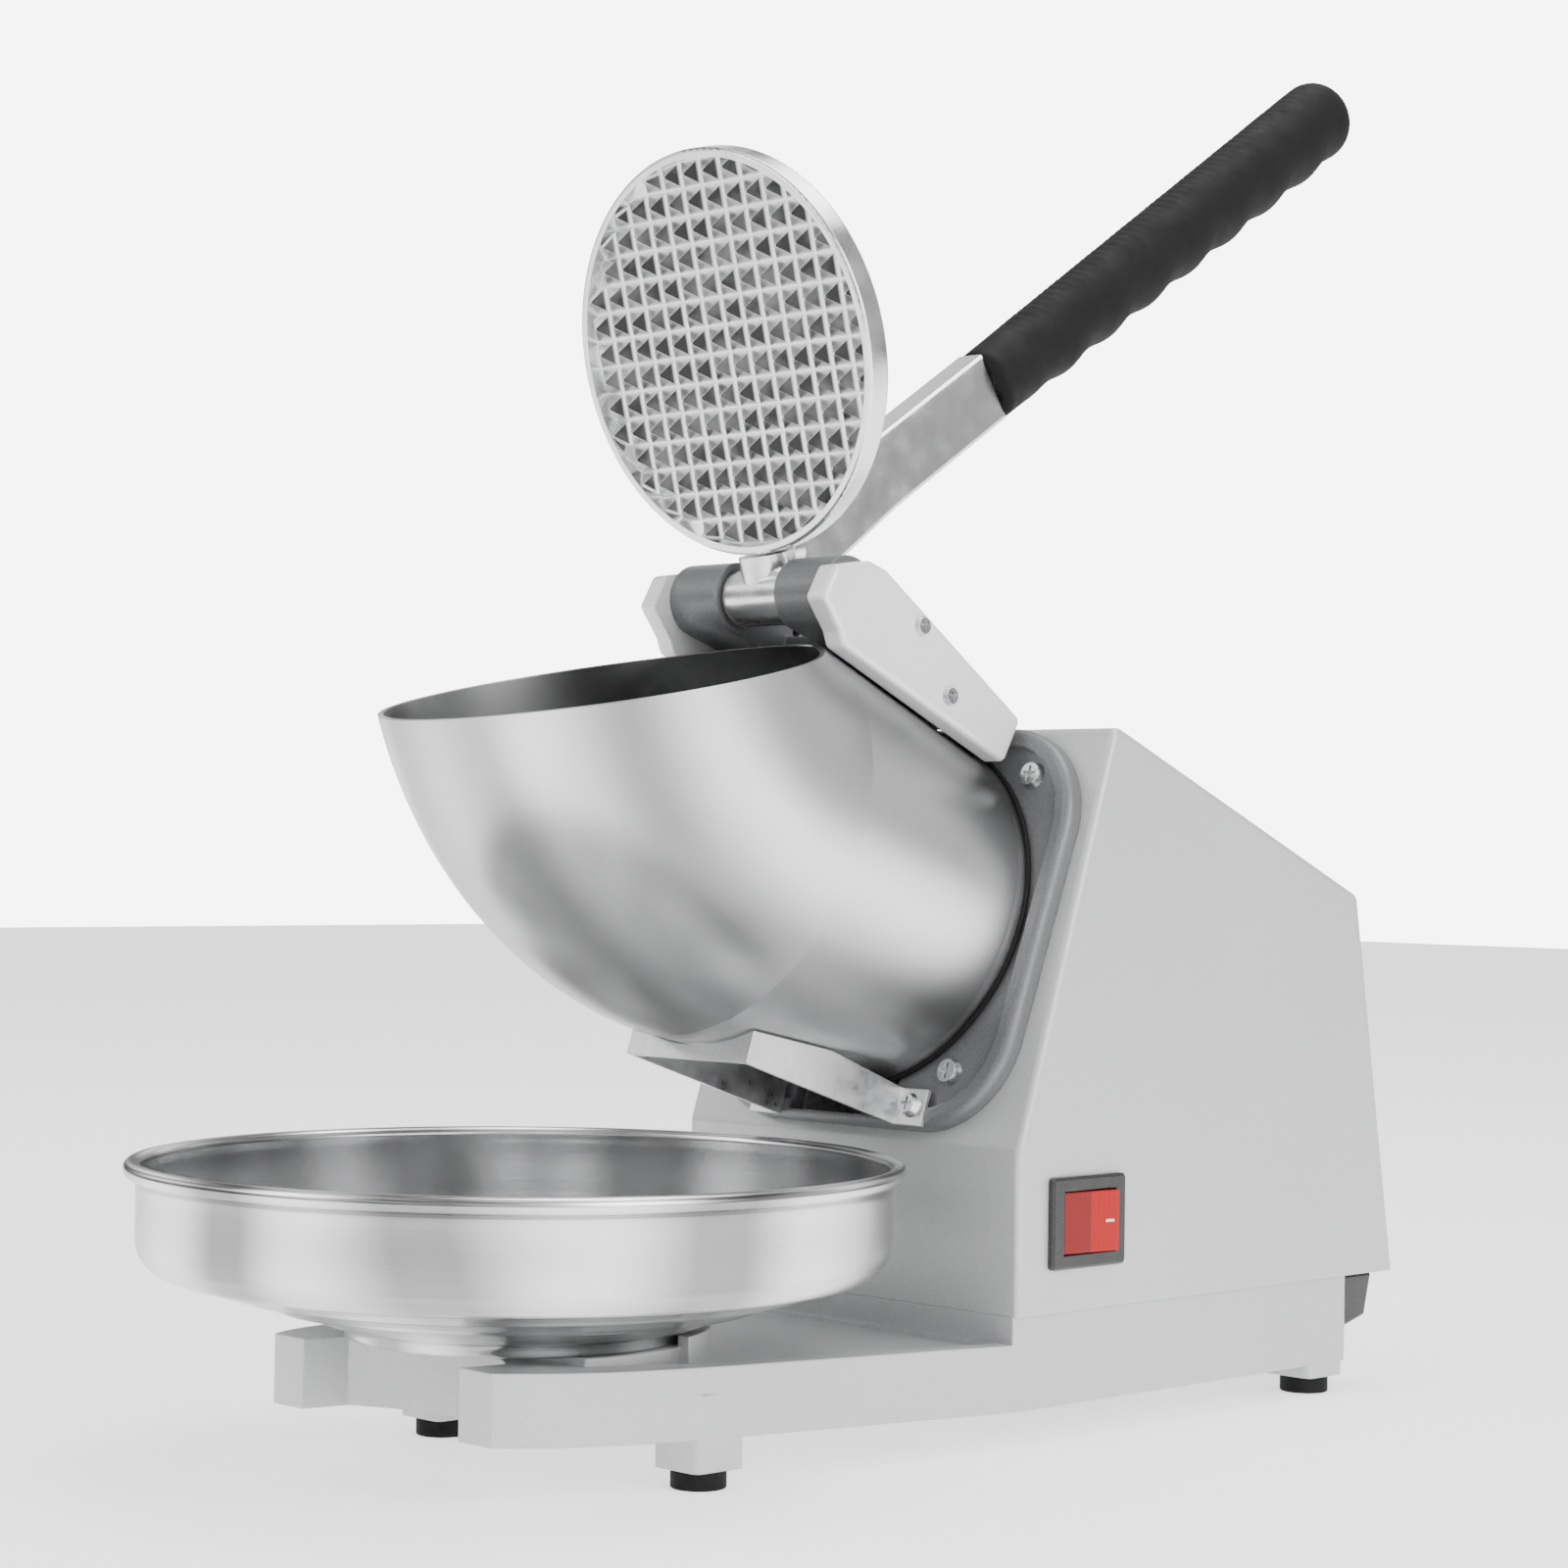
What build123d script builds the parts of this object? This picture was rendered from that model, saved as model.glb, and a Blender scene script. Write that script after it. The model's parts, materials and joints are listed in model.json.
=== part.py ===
from build123d import *
import os
from math import atan2, cos, degrees, hypot, radians, sin, sqrt, tan

# Electric ice shaver: a cast base with a fork that carries the catch bowl, a sheet cover with a
# leaning front face, a bent steel chute on that face, and a hinged pusher with a long handle.
# X points to the operator's right, the bowl is towards -Y, Z is up and the feet stand on Z = 0.

os.makedirs("parts", exist_ok=True)

# ---- driving dimensions, millimetres and degrees -------------------------------------------
# cover
cover_width = 117.0
cover_wall = 1.6
cover_front_y = -1.4
cover_rear_y = 152.5
cover_bottom_z = 31.2
kink_z = 71.6
face_lean = 18.1
face_length = 109.6
cover_rear_top_y = 134.9
cover_rear_top_z = 133.1
cover_edge_r = 3.0
# base
base_inset = 1.5
base_bottom_z = 8.3
base_wall = 3.2
base_rear_y = 134.5
deck_t = 3.0
# fork
fork_mid_y = -94.2
fork_mid_half = 53.0
nose_y = -149.5
nose_half = 39.0
nose_gap = 56.0
fork_wall = 5.0
fork_rear_top_z = 24.5
fork_nose_top_z = 30.0
fork_nose_bottom_z = 14.0
fork_floor_top_z = 23.0
fork_floor_t = 3.5
fork_front_y = -126.5
tray_front_half = 38.0
hollow_front_half = 34.0
tray_front_y = -119.5
# feet
foot_r = 6.4
foot_h = 4.6
foot_block_h = 4.5
front_foot_x = 45.5
rear_foot_x = 49.0
rear_foot_y = 125.5
foot_block_x = 15.0
foot_block_y = 15.0
foot_screw_r = 1.6
# bowl
bowl_y = -109.8
bowl_rim_r = 88.0
bowl_rim_tube_r = 2.0
bowl_wall_r = 87.0
bowl_wall = 1.0
bowl_rim_z = 71.3
bowl_corner_r = 8.0
bowl_side_bottom_z = 45.0
bowl_foot_r = 40.0
bowl_foot_h = 3.0
seat_top_z = 30.8
seat_r = 42.0
seat_bore_r = 26.0
seat_lip_gap = 1.5
seat_lip_w = 3.0
seat_lip_h = 2.5
# chute
chute_base_r = 46.0
chute_mouth_r = 52.2
chute_wall = 1.2
chute_s = 57.4
chute_taper_start = 8.0
swing_r = 61.0
pivot_h = 70.0
mouth_tilt = 11.4
mouth_drop = 12.7
# flange
flange_t = 5.0
flange_top_half = 55.3
flange_bottom_half = 50.5
flange_low_s = 2.2
flange_high_s = 107.4
flange_top_r = 26.0
flange_bottom_r = 34.0
flange_rim_w = 4.6
flange_recess = 1.2
flange_screw_r = 1.9
upper_screw = (38.6, 94.6)
lower_screw = (34.0, 17.0)
# cutter housing and outlet
housing_r = 48.3
housing_bore_r = 46.3
housing_depth = 24.0
housing_floor = 3.0
outlet_half = 17.5
outlet_low_s = 4.2
outlet_wall = 1.8
# hinge
hub_r = 7.3
hub_half = 9.5
pin_r = 3.0
pin_run_gap = 0.06
ear_gap = 0.9
ear_outer_x = 27.0
ear_r = 9.0
side_plate_t = 6.0
plate_screw_r = 1.3
# pusher
disc_r = 50.0
disc_t = 6.4
disc_back_t = 2.6
disc_rim_w = 2.2
pyramid_pitch = 6.8
pyramid_h = 3.0
lug_t = 4.0
lug_w = 16.0
arm_t = 10.0
open_angle = 104.4
handle_angle = 33.1
grip_start = (46.0, 265.9)
grip_length = 181.4
grip_start_r = 9.6
grip_end_r = 11.3
tang_r = 4.6
# drive
motor_r = 40.0
motor_wall = 2.5
motor_cap_t = 10.0
motor_can_l = 58.0
shaft_r = 5.0
bearing_r = 11.0
bearing_w = 7.0
stator_r = 37.3
rotor_r = 21.5
air_gap = 0.7
motor_bolt_r = 1.8
motor_bolt_ring = 34.0
cutter_r = 45.2
cutter_t = 3.0
cutter_top_h = -1.6
blade_l = 34.0
blade_w = 12.0
blade_t = 1.0
# switch
switch_y = 23.0
switch_z = 53.0
bezel_y = 27.5
bezel_z = 22.5
bezel_t = 1.8
rocker_y = 19.0
rocker_z = 15.0
rocker_gap = 0.35
rocker_tilt = 6.0
rocker_sink = 2.0
rocker_depth = 4.0
# clearances
fit_gap = 0.15
screw_gap = 0.2

# ---- derived geometry ----------------------------------------------------------------------
lean_sin = sin(radians(face_lean))
lean_cos = cos(radians(face_lean))
half = cover_width / 2
base_half = half - base_inset
face_foot = Vector(0, cover_front_y, kink_z)
face_up = Vector(0, lean_sin, lean_cos)
face_out = Vector(0, -lean_cos, lean_sin)


def on_face(x, s, h):
    """Point at x across the leaning face, s up it and h out of it."""
    return face_foot + Vector(x, 0, 0) + face_up * s + face_out * h


def face_plane(h=0.0, s=0.0, x=0.0):
    """Plane parallel to the leaning face: X across, Y up the face, Z out of it."""
    return Plane(origin=on_face(x, s, h), x_dir=(1, 0, 0), z_dir=face_out)


def side_plane(x):
    """Plane across the machine at x, with local X rearwards and local Y up."""
    return Plane(origin=(x, 0, 0), x_dir=(0, 1, 0), z_dir=(1, 0, 0))


def in_side(vector):
    """World point as a pair in a side plane."""
    return (vector.Y, vector.Z)


pivot_s = chute_s + swing_r
pivot = on_face(0, pivot_s, pivot_h)
cutter_axis = Axis(on_face(0, chute_s, 0), face_out)
hinge_axis = Axis(pivot, (1, 0, 0))
face_top = on_face(0, face_length, 0)


def axis_plane(h):
    """Plane square to the chute and motor axis at height h over the leaning face."""
    return face_plane(h, chute_s)


def tube(inner, outer, low, high):
    """Ring about the motor axis, added to the part being built."""
    with BuildSketch(axis_plane(low)) as ring:
        Circle(outer)
        if inner > 0:
            Circle(inner, mode=Mode.SUBTRACT)
    extrude(ring.sketch, amount=high - low)


def save(part, name):
    """Label the finished piece and write it."""
    part.label = name
    export_step(part, f"parts/{name}.step")


def pan_screws(name, planes, shank_r, length, head_r, head_h):
    """Group of cross-slot pan screws; each plane lies under a head and faces outwards."""
    with BuildPart() as group:
        for place in planes:
            with BuildSketch(place):
                Circle(shank_r)
            extrude(amount=-length)
            with BuildSketch(place):
                Circle(head_r)
            extrude(amount=head_h, taper=20)
            with BuildSketch(place.offset(head_h)):
                Rectangle(head_r * 1.1, head_r * 0.26)
                Rectangle(head_r * 0.26, head_r * 1.1)
            extrude(amount=-head_h * 0.55, mode=Mode.SUBTRACT)
    save(group.part, name)


# ---- cover ---------------------------------------------------------------------------------
cover_corners = [
    (cover_front_y, cover_bottom_z),
    (cover_front_y, kink_z),
    in_side(face_top),
    (cover_rear_top_y, cover_rear_top_z),
    (cover_rear_y, cover_bottom_z),
]
flange_spots = [upper_screw, lower_screw]
flange_spots += [(-x, s) for x, s in flange_spots]
cover_tab_y = (14.0, 118.0)
cover_tab_w = 13.0
cover_tab_h = 9.0
tab_screw_r = 1.6
tab_x = half - cover_wall - cover_tab_w / 2

with BuildPart() as cover:
    with BuildSketch(side_plane(-half)):
        with BuildLine():
            Polyline(*cover_corners, close=True)
        make_face()
    extrude(amount=cover_width)
    fillet(cover.edges().filter_by(Axis.X).sort_by(Axis.Z)[2:], cover_edge_r)
    outer_edges = cover.faces().sort_by(Axis.X)[0].edges() + cover.faces().sort_by(Axis.X)[-1].edges()
    fillet([e for e in outer_edges if e.center().Z > cover_bottom_z + 1], cover_edge_r * 0.6)
    offset(amount=-cover_wall, openings=cover.faces().sort_by(Axis.Z)[0])
    with BuildSketch(axis_plane(-2 * cover_wall)):
        Circle(housing_r + fit_gap)
    extrude(amount=4 * cover_wall, mode=Mode.SUBTRACT)
    with BuildSketch(face_plane(-2 * cover_wall)):
        with Locations((0, (outlet_low_s - outlet_wall + chute_s / 2) / 2)):
            Rectangle(2 * (outlet_half + outlet_wall + fit_gap), chute_s / 2 - outlet_low_s + outlet_wall)
    extrude(amount=4 * cover_wall, mode=Mode.SUBTRACT)
    with BuildSketch(face_plane(-2 * cover_wall)):
        with Locations(*flange_spots):
            Circle(flange_screw_r + screw_gap)
    extrude(amount=4 * cover_wall, mode=Mode.SUBTRACT)
    # switch window
    with BuildSketch(side_plane(half - 2 * cover_wall)):
        with Locations((switch_y, switch_z)):
            Rectangle(bezel_y - 3.0, bezel_z - 3.0)
    extrude(amount=4 * cover_wall, mode=Mode.SUBTRACT)
    # rear louvres
    louvre_pitch = 8.0
    louvre_count = 7
    louvre_l = 70.0
    louvre_w = 3.2
    rear_lean = degrees(atan2(cover_rear_y - cover_rear_top_y, cover_rear_top_z - cover_bottom_z))
    rear_mid = Vector(0, (cover_rear_y + cover_rear_top_y) / 2, (cover_rear_top_z + cover_bottom_z) / 2)
    rear_out = Vector(0, cos(radians(rear_lean)), sin(radians(rear_lean)))
    with BuildSketch(Plane(origin=rear_mid - rear_out * 4, x_dir=(-1, 0, 0), z_dir=rear_out)):
        with GridLocations(0, louvre_pitch, 1, louvre_count):
            SlotOverall(louvre_l, louvre_w)
    extrude(amount=8, mode=Mode.SUBTRACT)
    # lugs that take the cover screws
    for tab_y in cover_tab_y:
        with BuildSketch(Plane.XY.offset(cover_bottom_z)):
            with Locations((tab_x, tab_y), (-tab_x, tab_y)):
                Rectangle(cover_tab_w, cover_tab_w)
                Circle(tab_screw_r + fit_gap, mode=Mode.SUBTRACT)
        extrude(amount=cover_tab_h)
save(cover.part, "cover")

# ---- base casting --------------------------------------------------------------------------
fork_drop = (fork_nose_bottom_z - base_bottom_z) / (cover_front_y - nose_y)
fork_rise = (fork_nose_top_z - fork_rear_top_z) / (cover_front_y - nose_y)
foot_spots = [
    (front_foot_x, fork_mid_y),
    (-front_foot_x, fork_mid_y),
    (rear_foot_x, rear_foot_y),
    (-rear_foot_x, rear_foot_y),
]
tab_spots = [(x, y) for x in (tab_x, -tab_x) for y in cover_tab_y]
plate_inset = base_wall + 0.3
bottom_plate_t = 1.2
plate_spots = [(x, y) for x in (42.0, -42.0) for y in (12.0, 100.0)]
plate_boss_r = 4.5
plate_hole_r = 1.5
wiring_hole_y = 112.0
wiring_hole_r = 9.0
foot_screw_hole_l = 10.0
plate_screw_hole_l = 10.0


def fork_outline(inset):
    """Plan of the fork: straight flanks that curve in to the two noses."""
    mid = (fork_mid_half - inset, fork_mid_y)
    tip = (nose_half - inset, nose_y + inset)
    root = (base_half - inset, cover_front_y)
    return root, mid, tip


with BuildPart() as base:
    # rear box
    with BuildSketch(Plane.XY.offset(base_bottom_z)):
        with Locations((0, (cover_front_y + base_rear_y) / 2)):
            RectangleRounded(2 * base_half, base_rear_y - cover_front_y, 3.0)
    extrude(amount=cover_bottom_z - base_bottom_z)
    # fork blank
    with BuildSketch(Plane.XY.offset(base_bottom_z)):
        with BuildLine():
            root, mid, tip = fork_outline(0)
            Line((root[0], cover_front_y + 6), root)
            Line(root, mid)
            Spline(mid, tip, tangents=[(mid[0] - root[0], mid[1] - root[1]), (-0.7, -1)])
            Line(tip, (-tip[0], tip[1]))
            Spline((-tip[0], tip[1]), (-mid[0], mid[1]), tangents=[(-0.7, 1), (mid[0] - root[0], root[1] - mid[1])])
            Line((-mid[0], mid[1]), (-root[0], root[1]))
            Line((-root[0], root[1]), (-root[0], cover_front_y + 6))
            Line((-root[0], cover_front_y + 6), (root[0], cover_front_y + 6))
        make_face()
    extrude(amount=fork_nose_top_z + 2 - base_bottom_z)
    # sloping top and underside of the fork
    with BuildSketch(side_plane(-half)):
        with BuildLine():
            Polyline(
                (cover_front_y, cover_bottom_z),
                (cover_front_y, fork_rear_top_z),
                (nose_y - 5, fork_nose_top_z + 5 * fork_rise),
                (nose_y - 5, 60),
                (cover_front_y + 7, 60),
                (cover_front_y + 7, cover_bottom_z),
                close=True,
            )
        make_face()
        with BuildLine():
            Polyline(
                (cover_front_y, base_bottom_z),
                (nose_y - 5, fork_nose_bottom_z + 5 * fork_drop),
                (nose_y - 5, 0),
                (cover_front_y, 0),
                close=True,
            )
        make_face()
    extrude(amount=cover_width, mode=Mode.SUBTRACT)
    # bay between the noses, with a round inner end
    with BuildSketch(Plane.XY):
        with BuildLine():
            Line((-nose_gap / 2, nose_y - 5), (-nose_gap / 2, fork_front_y - 10))
            ThreePointArc((-nose_gap / 2, fork_front_y - 10), (0, fork_front_y), (nose_gap / 2, fork_front_y - 10))
            Line((nose_gap / 2, fork_front_y - 10), (nose_gap / 2, nose_y - 5))
            Line((nose_gap / 2, nose_y - 5), (-nose_gap / 2, nose_y - 5))
        make_face()
    extrude(amount=60, mode=Mode.SUBTRACT)
    # tray in the top of the fork
    with BuildSketch(Plane.XY.offset(fork_floor_top_z)):
        with BuildLine():
            root, mid, tip = fork_outline(fork_wall)
            Polyline(
                (root[0], cover_front_y - 0.5),
                mid,
                (tray_front_half, tray_front_y),
                (-tray_front_half, tray_front_y),
                (-mid[0], mid[1]),
                (-root[0], cover_front_y - 0.5),
                close=True,
            )
        make_face()
    extrude(amount=40, mode=Mode.SUBTRACT)
    # hollow under the fork and under the rear box
    with BuildSketch(Plane.XY):
        with BuildLine():
            Polyline(
                (root[0], cover_front_y - base_wall),
                mid,
                (hollow_front_half, tray_front_y),
                (-hollow_front_half, tray_front_y),
                (-mid[0], mid[1]),
                (-root[0], cover_front_y - base_wall),
                close=True,
            )
        make_face()
    extrude(amount=fork_floor_top_z - fork_floor_t, mode=Mode.SUBTRACT)
    with BuildSketch(Plane.XY):
        with Locations((0, (cover_front_y + base_rear_y) / 2)):
            Rectangle(2 * (base_half - base_wall), base_rear_y - cover_front_y - 2 * base_wall)
    extrude(amount=cover_bottom_z - deck_t, mode=Mode.SUBTRACT)
    # raised bowl seat and the rear half of its locating lip
    with BuildSketch(Plane.XY.offset(fork_floor_top_z - fork_floor_t)):
        with Locations((0, bowl_y)):
            Circle(seat_r)
            Circle(seat_bore_r, mode=Mode.SUBTRACT)
            with Locations((0, -2 * seat_r + fork_front_y + 3 - bowl_y)):
                Rectangle(4 * seat_r, 4 * seat_r, mode=Mode.SUBTRACT)
    extrude(amount=seat_top_z - fork_floor_top_z + fork_floor_t)
    with BuildSketch(Plane.XY.offset(fork_floor_top_z - fork_floor_t)):
        with Locations((0, bowl_y)):
            Circle(seat_r + seat_lip_w)
            Circle(seat_r - 0.5, mode=Mode.SUBTRACT)
            with Locations((0, -seat_r)):
                Rectangle(4 * seat_r, 2 * seat_r + 30, mode=Mode.SUBTRACT)
    extrude(amount=seat_top_z + seat_lip_h - fork_floor_top_z + fork_floor_t)
    # foot blocks and plate bosses
    with BuildSketch(Plane.XY.offset(foot_block_h)):
        with Locations(*foot_spots):
            RectangleRounded(foot_block_x, foot_block_y, 2.0)
    extrude(amount=fork_floor_top_z - foot_block_h - 1)
    with BuildSketch(Plane.XY.offset(base_bottom_z + bottom_plate_t)):
        with Locations(*plate_spots):
            Circle(plate_boss_r)
    extrude(amount=cover_bottom_z - deck_t - base_bottom_z - bottom_plate_t)
    # screw holes and the wiring hole
    with BuildSketch(Plane.XY.offset(foot_block_h)):
        with Locations(*foot_spots):
            Circle(foot_screw_r + fit_gap)
    extrude(amount=foot_screw_hole_l, mode=Mode.SUBTRACT)
    with BuildSketch(Plane.XY.offset(base_bottom_z)):
        with Locations(*plate_spots):
            Circle(plate_hole_r + fit_gap)
    extrude(amount=plate_screw_hole_l, mode=Mode.SUBTRACT)
    with BuildSketch(Plane.XY.offset(cover_bottom_z - 2 * deck_t)):
        with Locations(*tab_spots):
            Circle(tab_screw_r + screw_gap)
        with Locations((0, wiring_hole_y)):
            Circle(wiring_hole_r)
    extrude(amount=3 * deck_t, mode=Mode.SUBTRACT)
save(base.part, "base_casting")

# ---- underside: plate, feet and their screws -----------------------------------------------
vent_pitch = 9.0
vent_count = 6
vent_l = 40.0
vent_w = 3.0
vent_y = 60.0
with BuildPart() as bottom_plate:
    with BuildSketch(Plane.XY.offset(base_bottom_z)):
        with Locations((0, (cover_front_y + base_rear_y) / 2)):
            Rectangle(2 * (base_half - plate_inset), base_rear_y - cover_front_y - 2 * plate_inset)
        with Locations(*[spot for spot in foot_spots if spot[1] > 0]):
            Rectangle(foot_block_x + 4, foot_block_y + 6, mode=Mode.SUBTRACT)
        with Locations(*plate_spots):
            Circle(plate_hole_r + screw_gap, mode=Mode.SUBTRACT)
        with Locations((0, vent_y)):
            with GridLocations(vent_pitch, 0, vent_count, 1):
                SlotOverall(vent_l, vent_w, rotation=90, mode=Mode.SUBTRACT)
    extrude(amount=bottom_plate_t)
save(bottom_plate.part, "bottom_plate")

under = [Plane(origin=(x, y, base_bottom_z), x_dir=(1, 0, 0), z_dir=(0, 0, -1)) for x, y in plate_spots]
pan_screws("bottom_plate_screws", under, plate_hole_r, 8.0, 3.0, 1.6)
foot_screw_recess = 1.8
foot_recess_r = 3.3
under = [Plane(origin=(x, y, foot_screw_recess), x_dir=(1, 0, 0), z_dir=(0, 0, -1)) for x, y in foot_spots]
pan_screws("foot_screws", under, foot_screw_r, 9.0, 3.0, 1.2)
under = [Plane(origin=(x, y, cover_bottom_z - deck_t), x_dir=(1, 0, 0), z_dir=(0, 0, -1)) for x, y in tab_spots]
pan_screws("cover_screws", under, tab_screw_r, 9.0, 3.2, 1.8)

with BuildPart() as feet:
    with BuildSketch():
        with Locations(*foot_spots):
            Circle(foot_r)
            Circle(foot_recess_r, mode=Mode.SUBTRACT)
    extrude(amount=foot_screw_recess)
    with BuildSketch(Plane.XY.offset(foot_screw_recess)):
        with Locations(*foot_spots):
            Circle(foot_r)
            Circle(foot_screw_r + screw_gap, mode=Mode.SUBTRACT)
    extrude(amount=foot_block_h - foot_screw_recess)
    fillet(feet.edges().filter_by(GeomType.CIRCLE).filter_by(lambda e: e.radius > foot_r - 0.1), 0.5)
save(feet.part, "rubber_feet")

# ---- chute ---------------------------------------------------------------------------------
mouth_point = pivot - Vector(0, 0, mouth_drop)
mouth_plane = Plane(
    origin=mouth_point,
    x_dir=(1, 0, 0),
    z_dir=(0, -sin(radians(mouth_tilt)), cos(radians(mouth_tilt))),
)
chute_sweep = 62.0

with BuildPart() as chute:
    # tapered straight run
    with BuildSketch(Plane(origin=on_face(0, chute_s, 0), x_dir=face_up, z_dir=(1, 0, 0))):
        with BuildLine():
            Polyline(
                (chute_base_r, 0.3),
                (chute_base_r, chute_taper_start),
                (chute_mouth_r, pivot_h),
                (chute_mouth_r - chute_wall, pivot_h),
                (chute_base_r - chute_wall, chute_taper_start),
                (chute_base_r - chute_wall, 0.3),
                close=True,
            )
        make_face()
    revolve(axis=cutter_axis)
    # bend about the hinge axis
    with BuildSketch(axis_plane(pivot_h)):
        Circle(chute_mouth_r)
        Circle(chute_mouth_r - chute_wall, mode=Mode.SUBTRACT)
    revolve(axis=Axis(pivot, (-1, 0, 0)), revolution_arc=chute_sweep)
    split(bisect_by=mouth_plane, keep=Keep.BOTTOM)
save(chute.part, "chute")

# ---- flange, cutter housing and outlet -----------------------------------------------------
bracket_screw_x = 17.0
bracket_screw_s = 103.9
bracket_screw_r = 1.5
bracket_screw_head_r = 2.9
bracket_screw_head_h = 1.6
bracket_spots = [(bracket_screw_x, bracket_screw_s), (-bracket_screw_x, bracket_screw_s)]
guard_half = 20.0
guard_sheet = 1.2
guard_tab = 9.0
guard_screw_s = 7.4
guard_screw_x = guard_half + guard_sheet + guard_tab / 2
guard_screw_r = 1.6
guard_spots = [(guard_screw_x, guard_screw_s), (-guard_screw_x, guard_screw_s)]


def flange_corners(inset):
    """Corners of the flange's outline, moved inwards by inset."""
    return [
        (flange_top_half - inset, flange_high_s - inset),
        (-flange_top_half + inset, flange_high_s - inset),
        (-flange_bottom_half + inset, flange_low_s + inset),
        (flange_bottom_half - inset, flange_low_s + inset),
    ]


with BuildPart() as flange:
    with BuildSketch(face_plane()) as outline:
        with BuildLine():
            Polyline(*flange_corners(0), close=True)
        make_face()
        fillet(outline.vertices().group_by(Axis.Z)[-1], flange_top_r)
        fillet(outline.vertices().group_by(Axis.Z)[0], flange_bottom_r)
    extrude(amount=flange_t)
    fillet(flange.faces().sort_by(Axis(on_face(0, 0, 0), face_out))[-1].edges(), 2.2)
    with BuildSketch(face_plane(flange_t)) as recess:
        with BuildLine():
            Polyline(*flange_corners(flange_rim_w), close=True)
        make_face()
        fillet(recess.vertices().group_by(Axis.Z)[-1], flange_top_r - flange_rim_w)
        fillet(recess.vertices().group_by(Axis.Z)[0], flange_bottom_r - flange_rim_w)
    extrude(amount=-flange_recess, mode=Mode.SUBTRACT)
    with BuildSketch(axis_plane(0)):
        Circle(chute_base_r + fit_gap)
    extrude(amount=flange_t, mode=Mode.SUBTRACT)
    with BuildSketch(face_plane()):
        with Locations((0, (outlet_low_s + chute_s / 2) / 2)):
            Rectangle(2 * outlet_half, chute_s / 2 - outlet_low_s)
    extrude(amount=flange_t, mode=Mode.SUBTRACT)
    with BuildSketch(face_plane()):
        with Locations(*flange_spots):
            Circle(flange_screw_r + screw_gap)
        with Locations(*bracket_spots):
            Circle(bracket_screw_r + screw_gap)
        with Locations(*guard_spots):
            Circle(guard_screw_r + fit_gap)
    extrude(amount=flange_t, mode=Mode.SUBTRACT)
    with BuildSketch(face_plane()):
        with Locations(*bracket_spots):
            Circle(bracket_screw_head_r + fit_gap)
    extrude(amount=bracket_screw_head_h + 0.1, mode=Mode.SUBTRACT)
save(flange.part, "chute_flange")

flange_face_h = flange_t - flange_recess
places = [face_plane(flange_face_h, s, x) for x, s in flange_spots]
pan_screws("flange_screws", places, flange_screw_r, 18.0, 3.6, 2.0)

lug_r = 5.5
lug_l = 12.0
with BuildPart() as housing:
    tube(housing_bore_r, housing_r, -housing_depth, 0)
    tube(bearing_r + fit_gap, housing_r, -housing_depth, -housing_depth + housing_floor)
    # outlet duct under the bore
    duct_mid = (outlet_low_s - outlet_wall + chute_s / 2) / 2
    with BuildSketch(face_plane(-housing_depth)):
        with Locations((0, duct_mid)):
            Rectangle(2 * (outlet_half + outlet_wall), chute_s / 2 - outlet_low_s + outlet_wall)
    extrude(amount=housing_depth)
    with BuildSketch(face_plane(-housing_depth + housing_floor)):
        with Locations((0, (outlet_low_s + chute_s / 2) / 2)):
            Rectangle(2 * outlet_half, chute_s / 2 - outlet_low_s)
    extrude(amount=housing_depth, mode=Mode.SUBTRACT)
    with BuildSketch(axis_plane(-housing_depth + housing_floor)):
        Circle(housing_bore_r)
    extrude(amount=housing_depth, mode=Mode.SUBTRACT)
    # lugs for the flange screws, behind the cover sheet
    with BuildSketch(face_plane(-cover_wall - lug_l)):
        with Locations(*flange_spots):
            Circle(lug_r)
        with Locations((0, chute_s)):
            Circle(housing_bore_r + 1, mode=Mode.SUBTRACT)
    extrude(amount=lug_l)
    with BuildSketch(face_plane(-cover_wall - lug_l - 2)):
        with Locations(*flange_spots):
            Circle(flange_screw_r + fit_gap)
    extrude(amount=lug_l + 4, mode=Mode.SUBTRACT)
    with BuildSketch(axis_plane(-housing_depth)):
        with PolarLocations(motor_bolt_ring, 4, start_angle=45):
            Circle(motor_bolt_r + fit_gap)
    extrude(amount=housing_floor, mode=Mode.SUBTRACT)
save(housing.part, "cutter_housing")

# ---- guard plate under the chute -----------------------------------------------------------
guard_low_s = 2.4
guard_high_s = 11.6
guard_front_s = 15.0
guard_reach = 60.0
guard_chute_gap = 0.4
tab_mid_x = guard_half + (guard_tab + guard_sheet) / 2
guard_mid_s = (guard_low_s + guard_high_s) / 2

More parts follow.
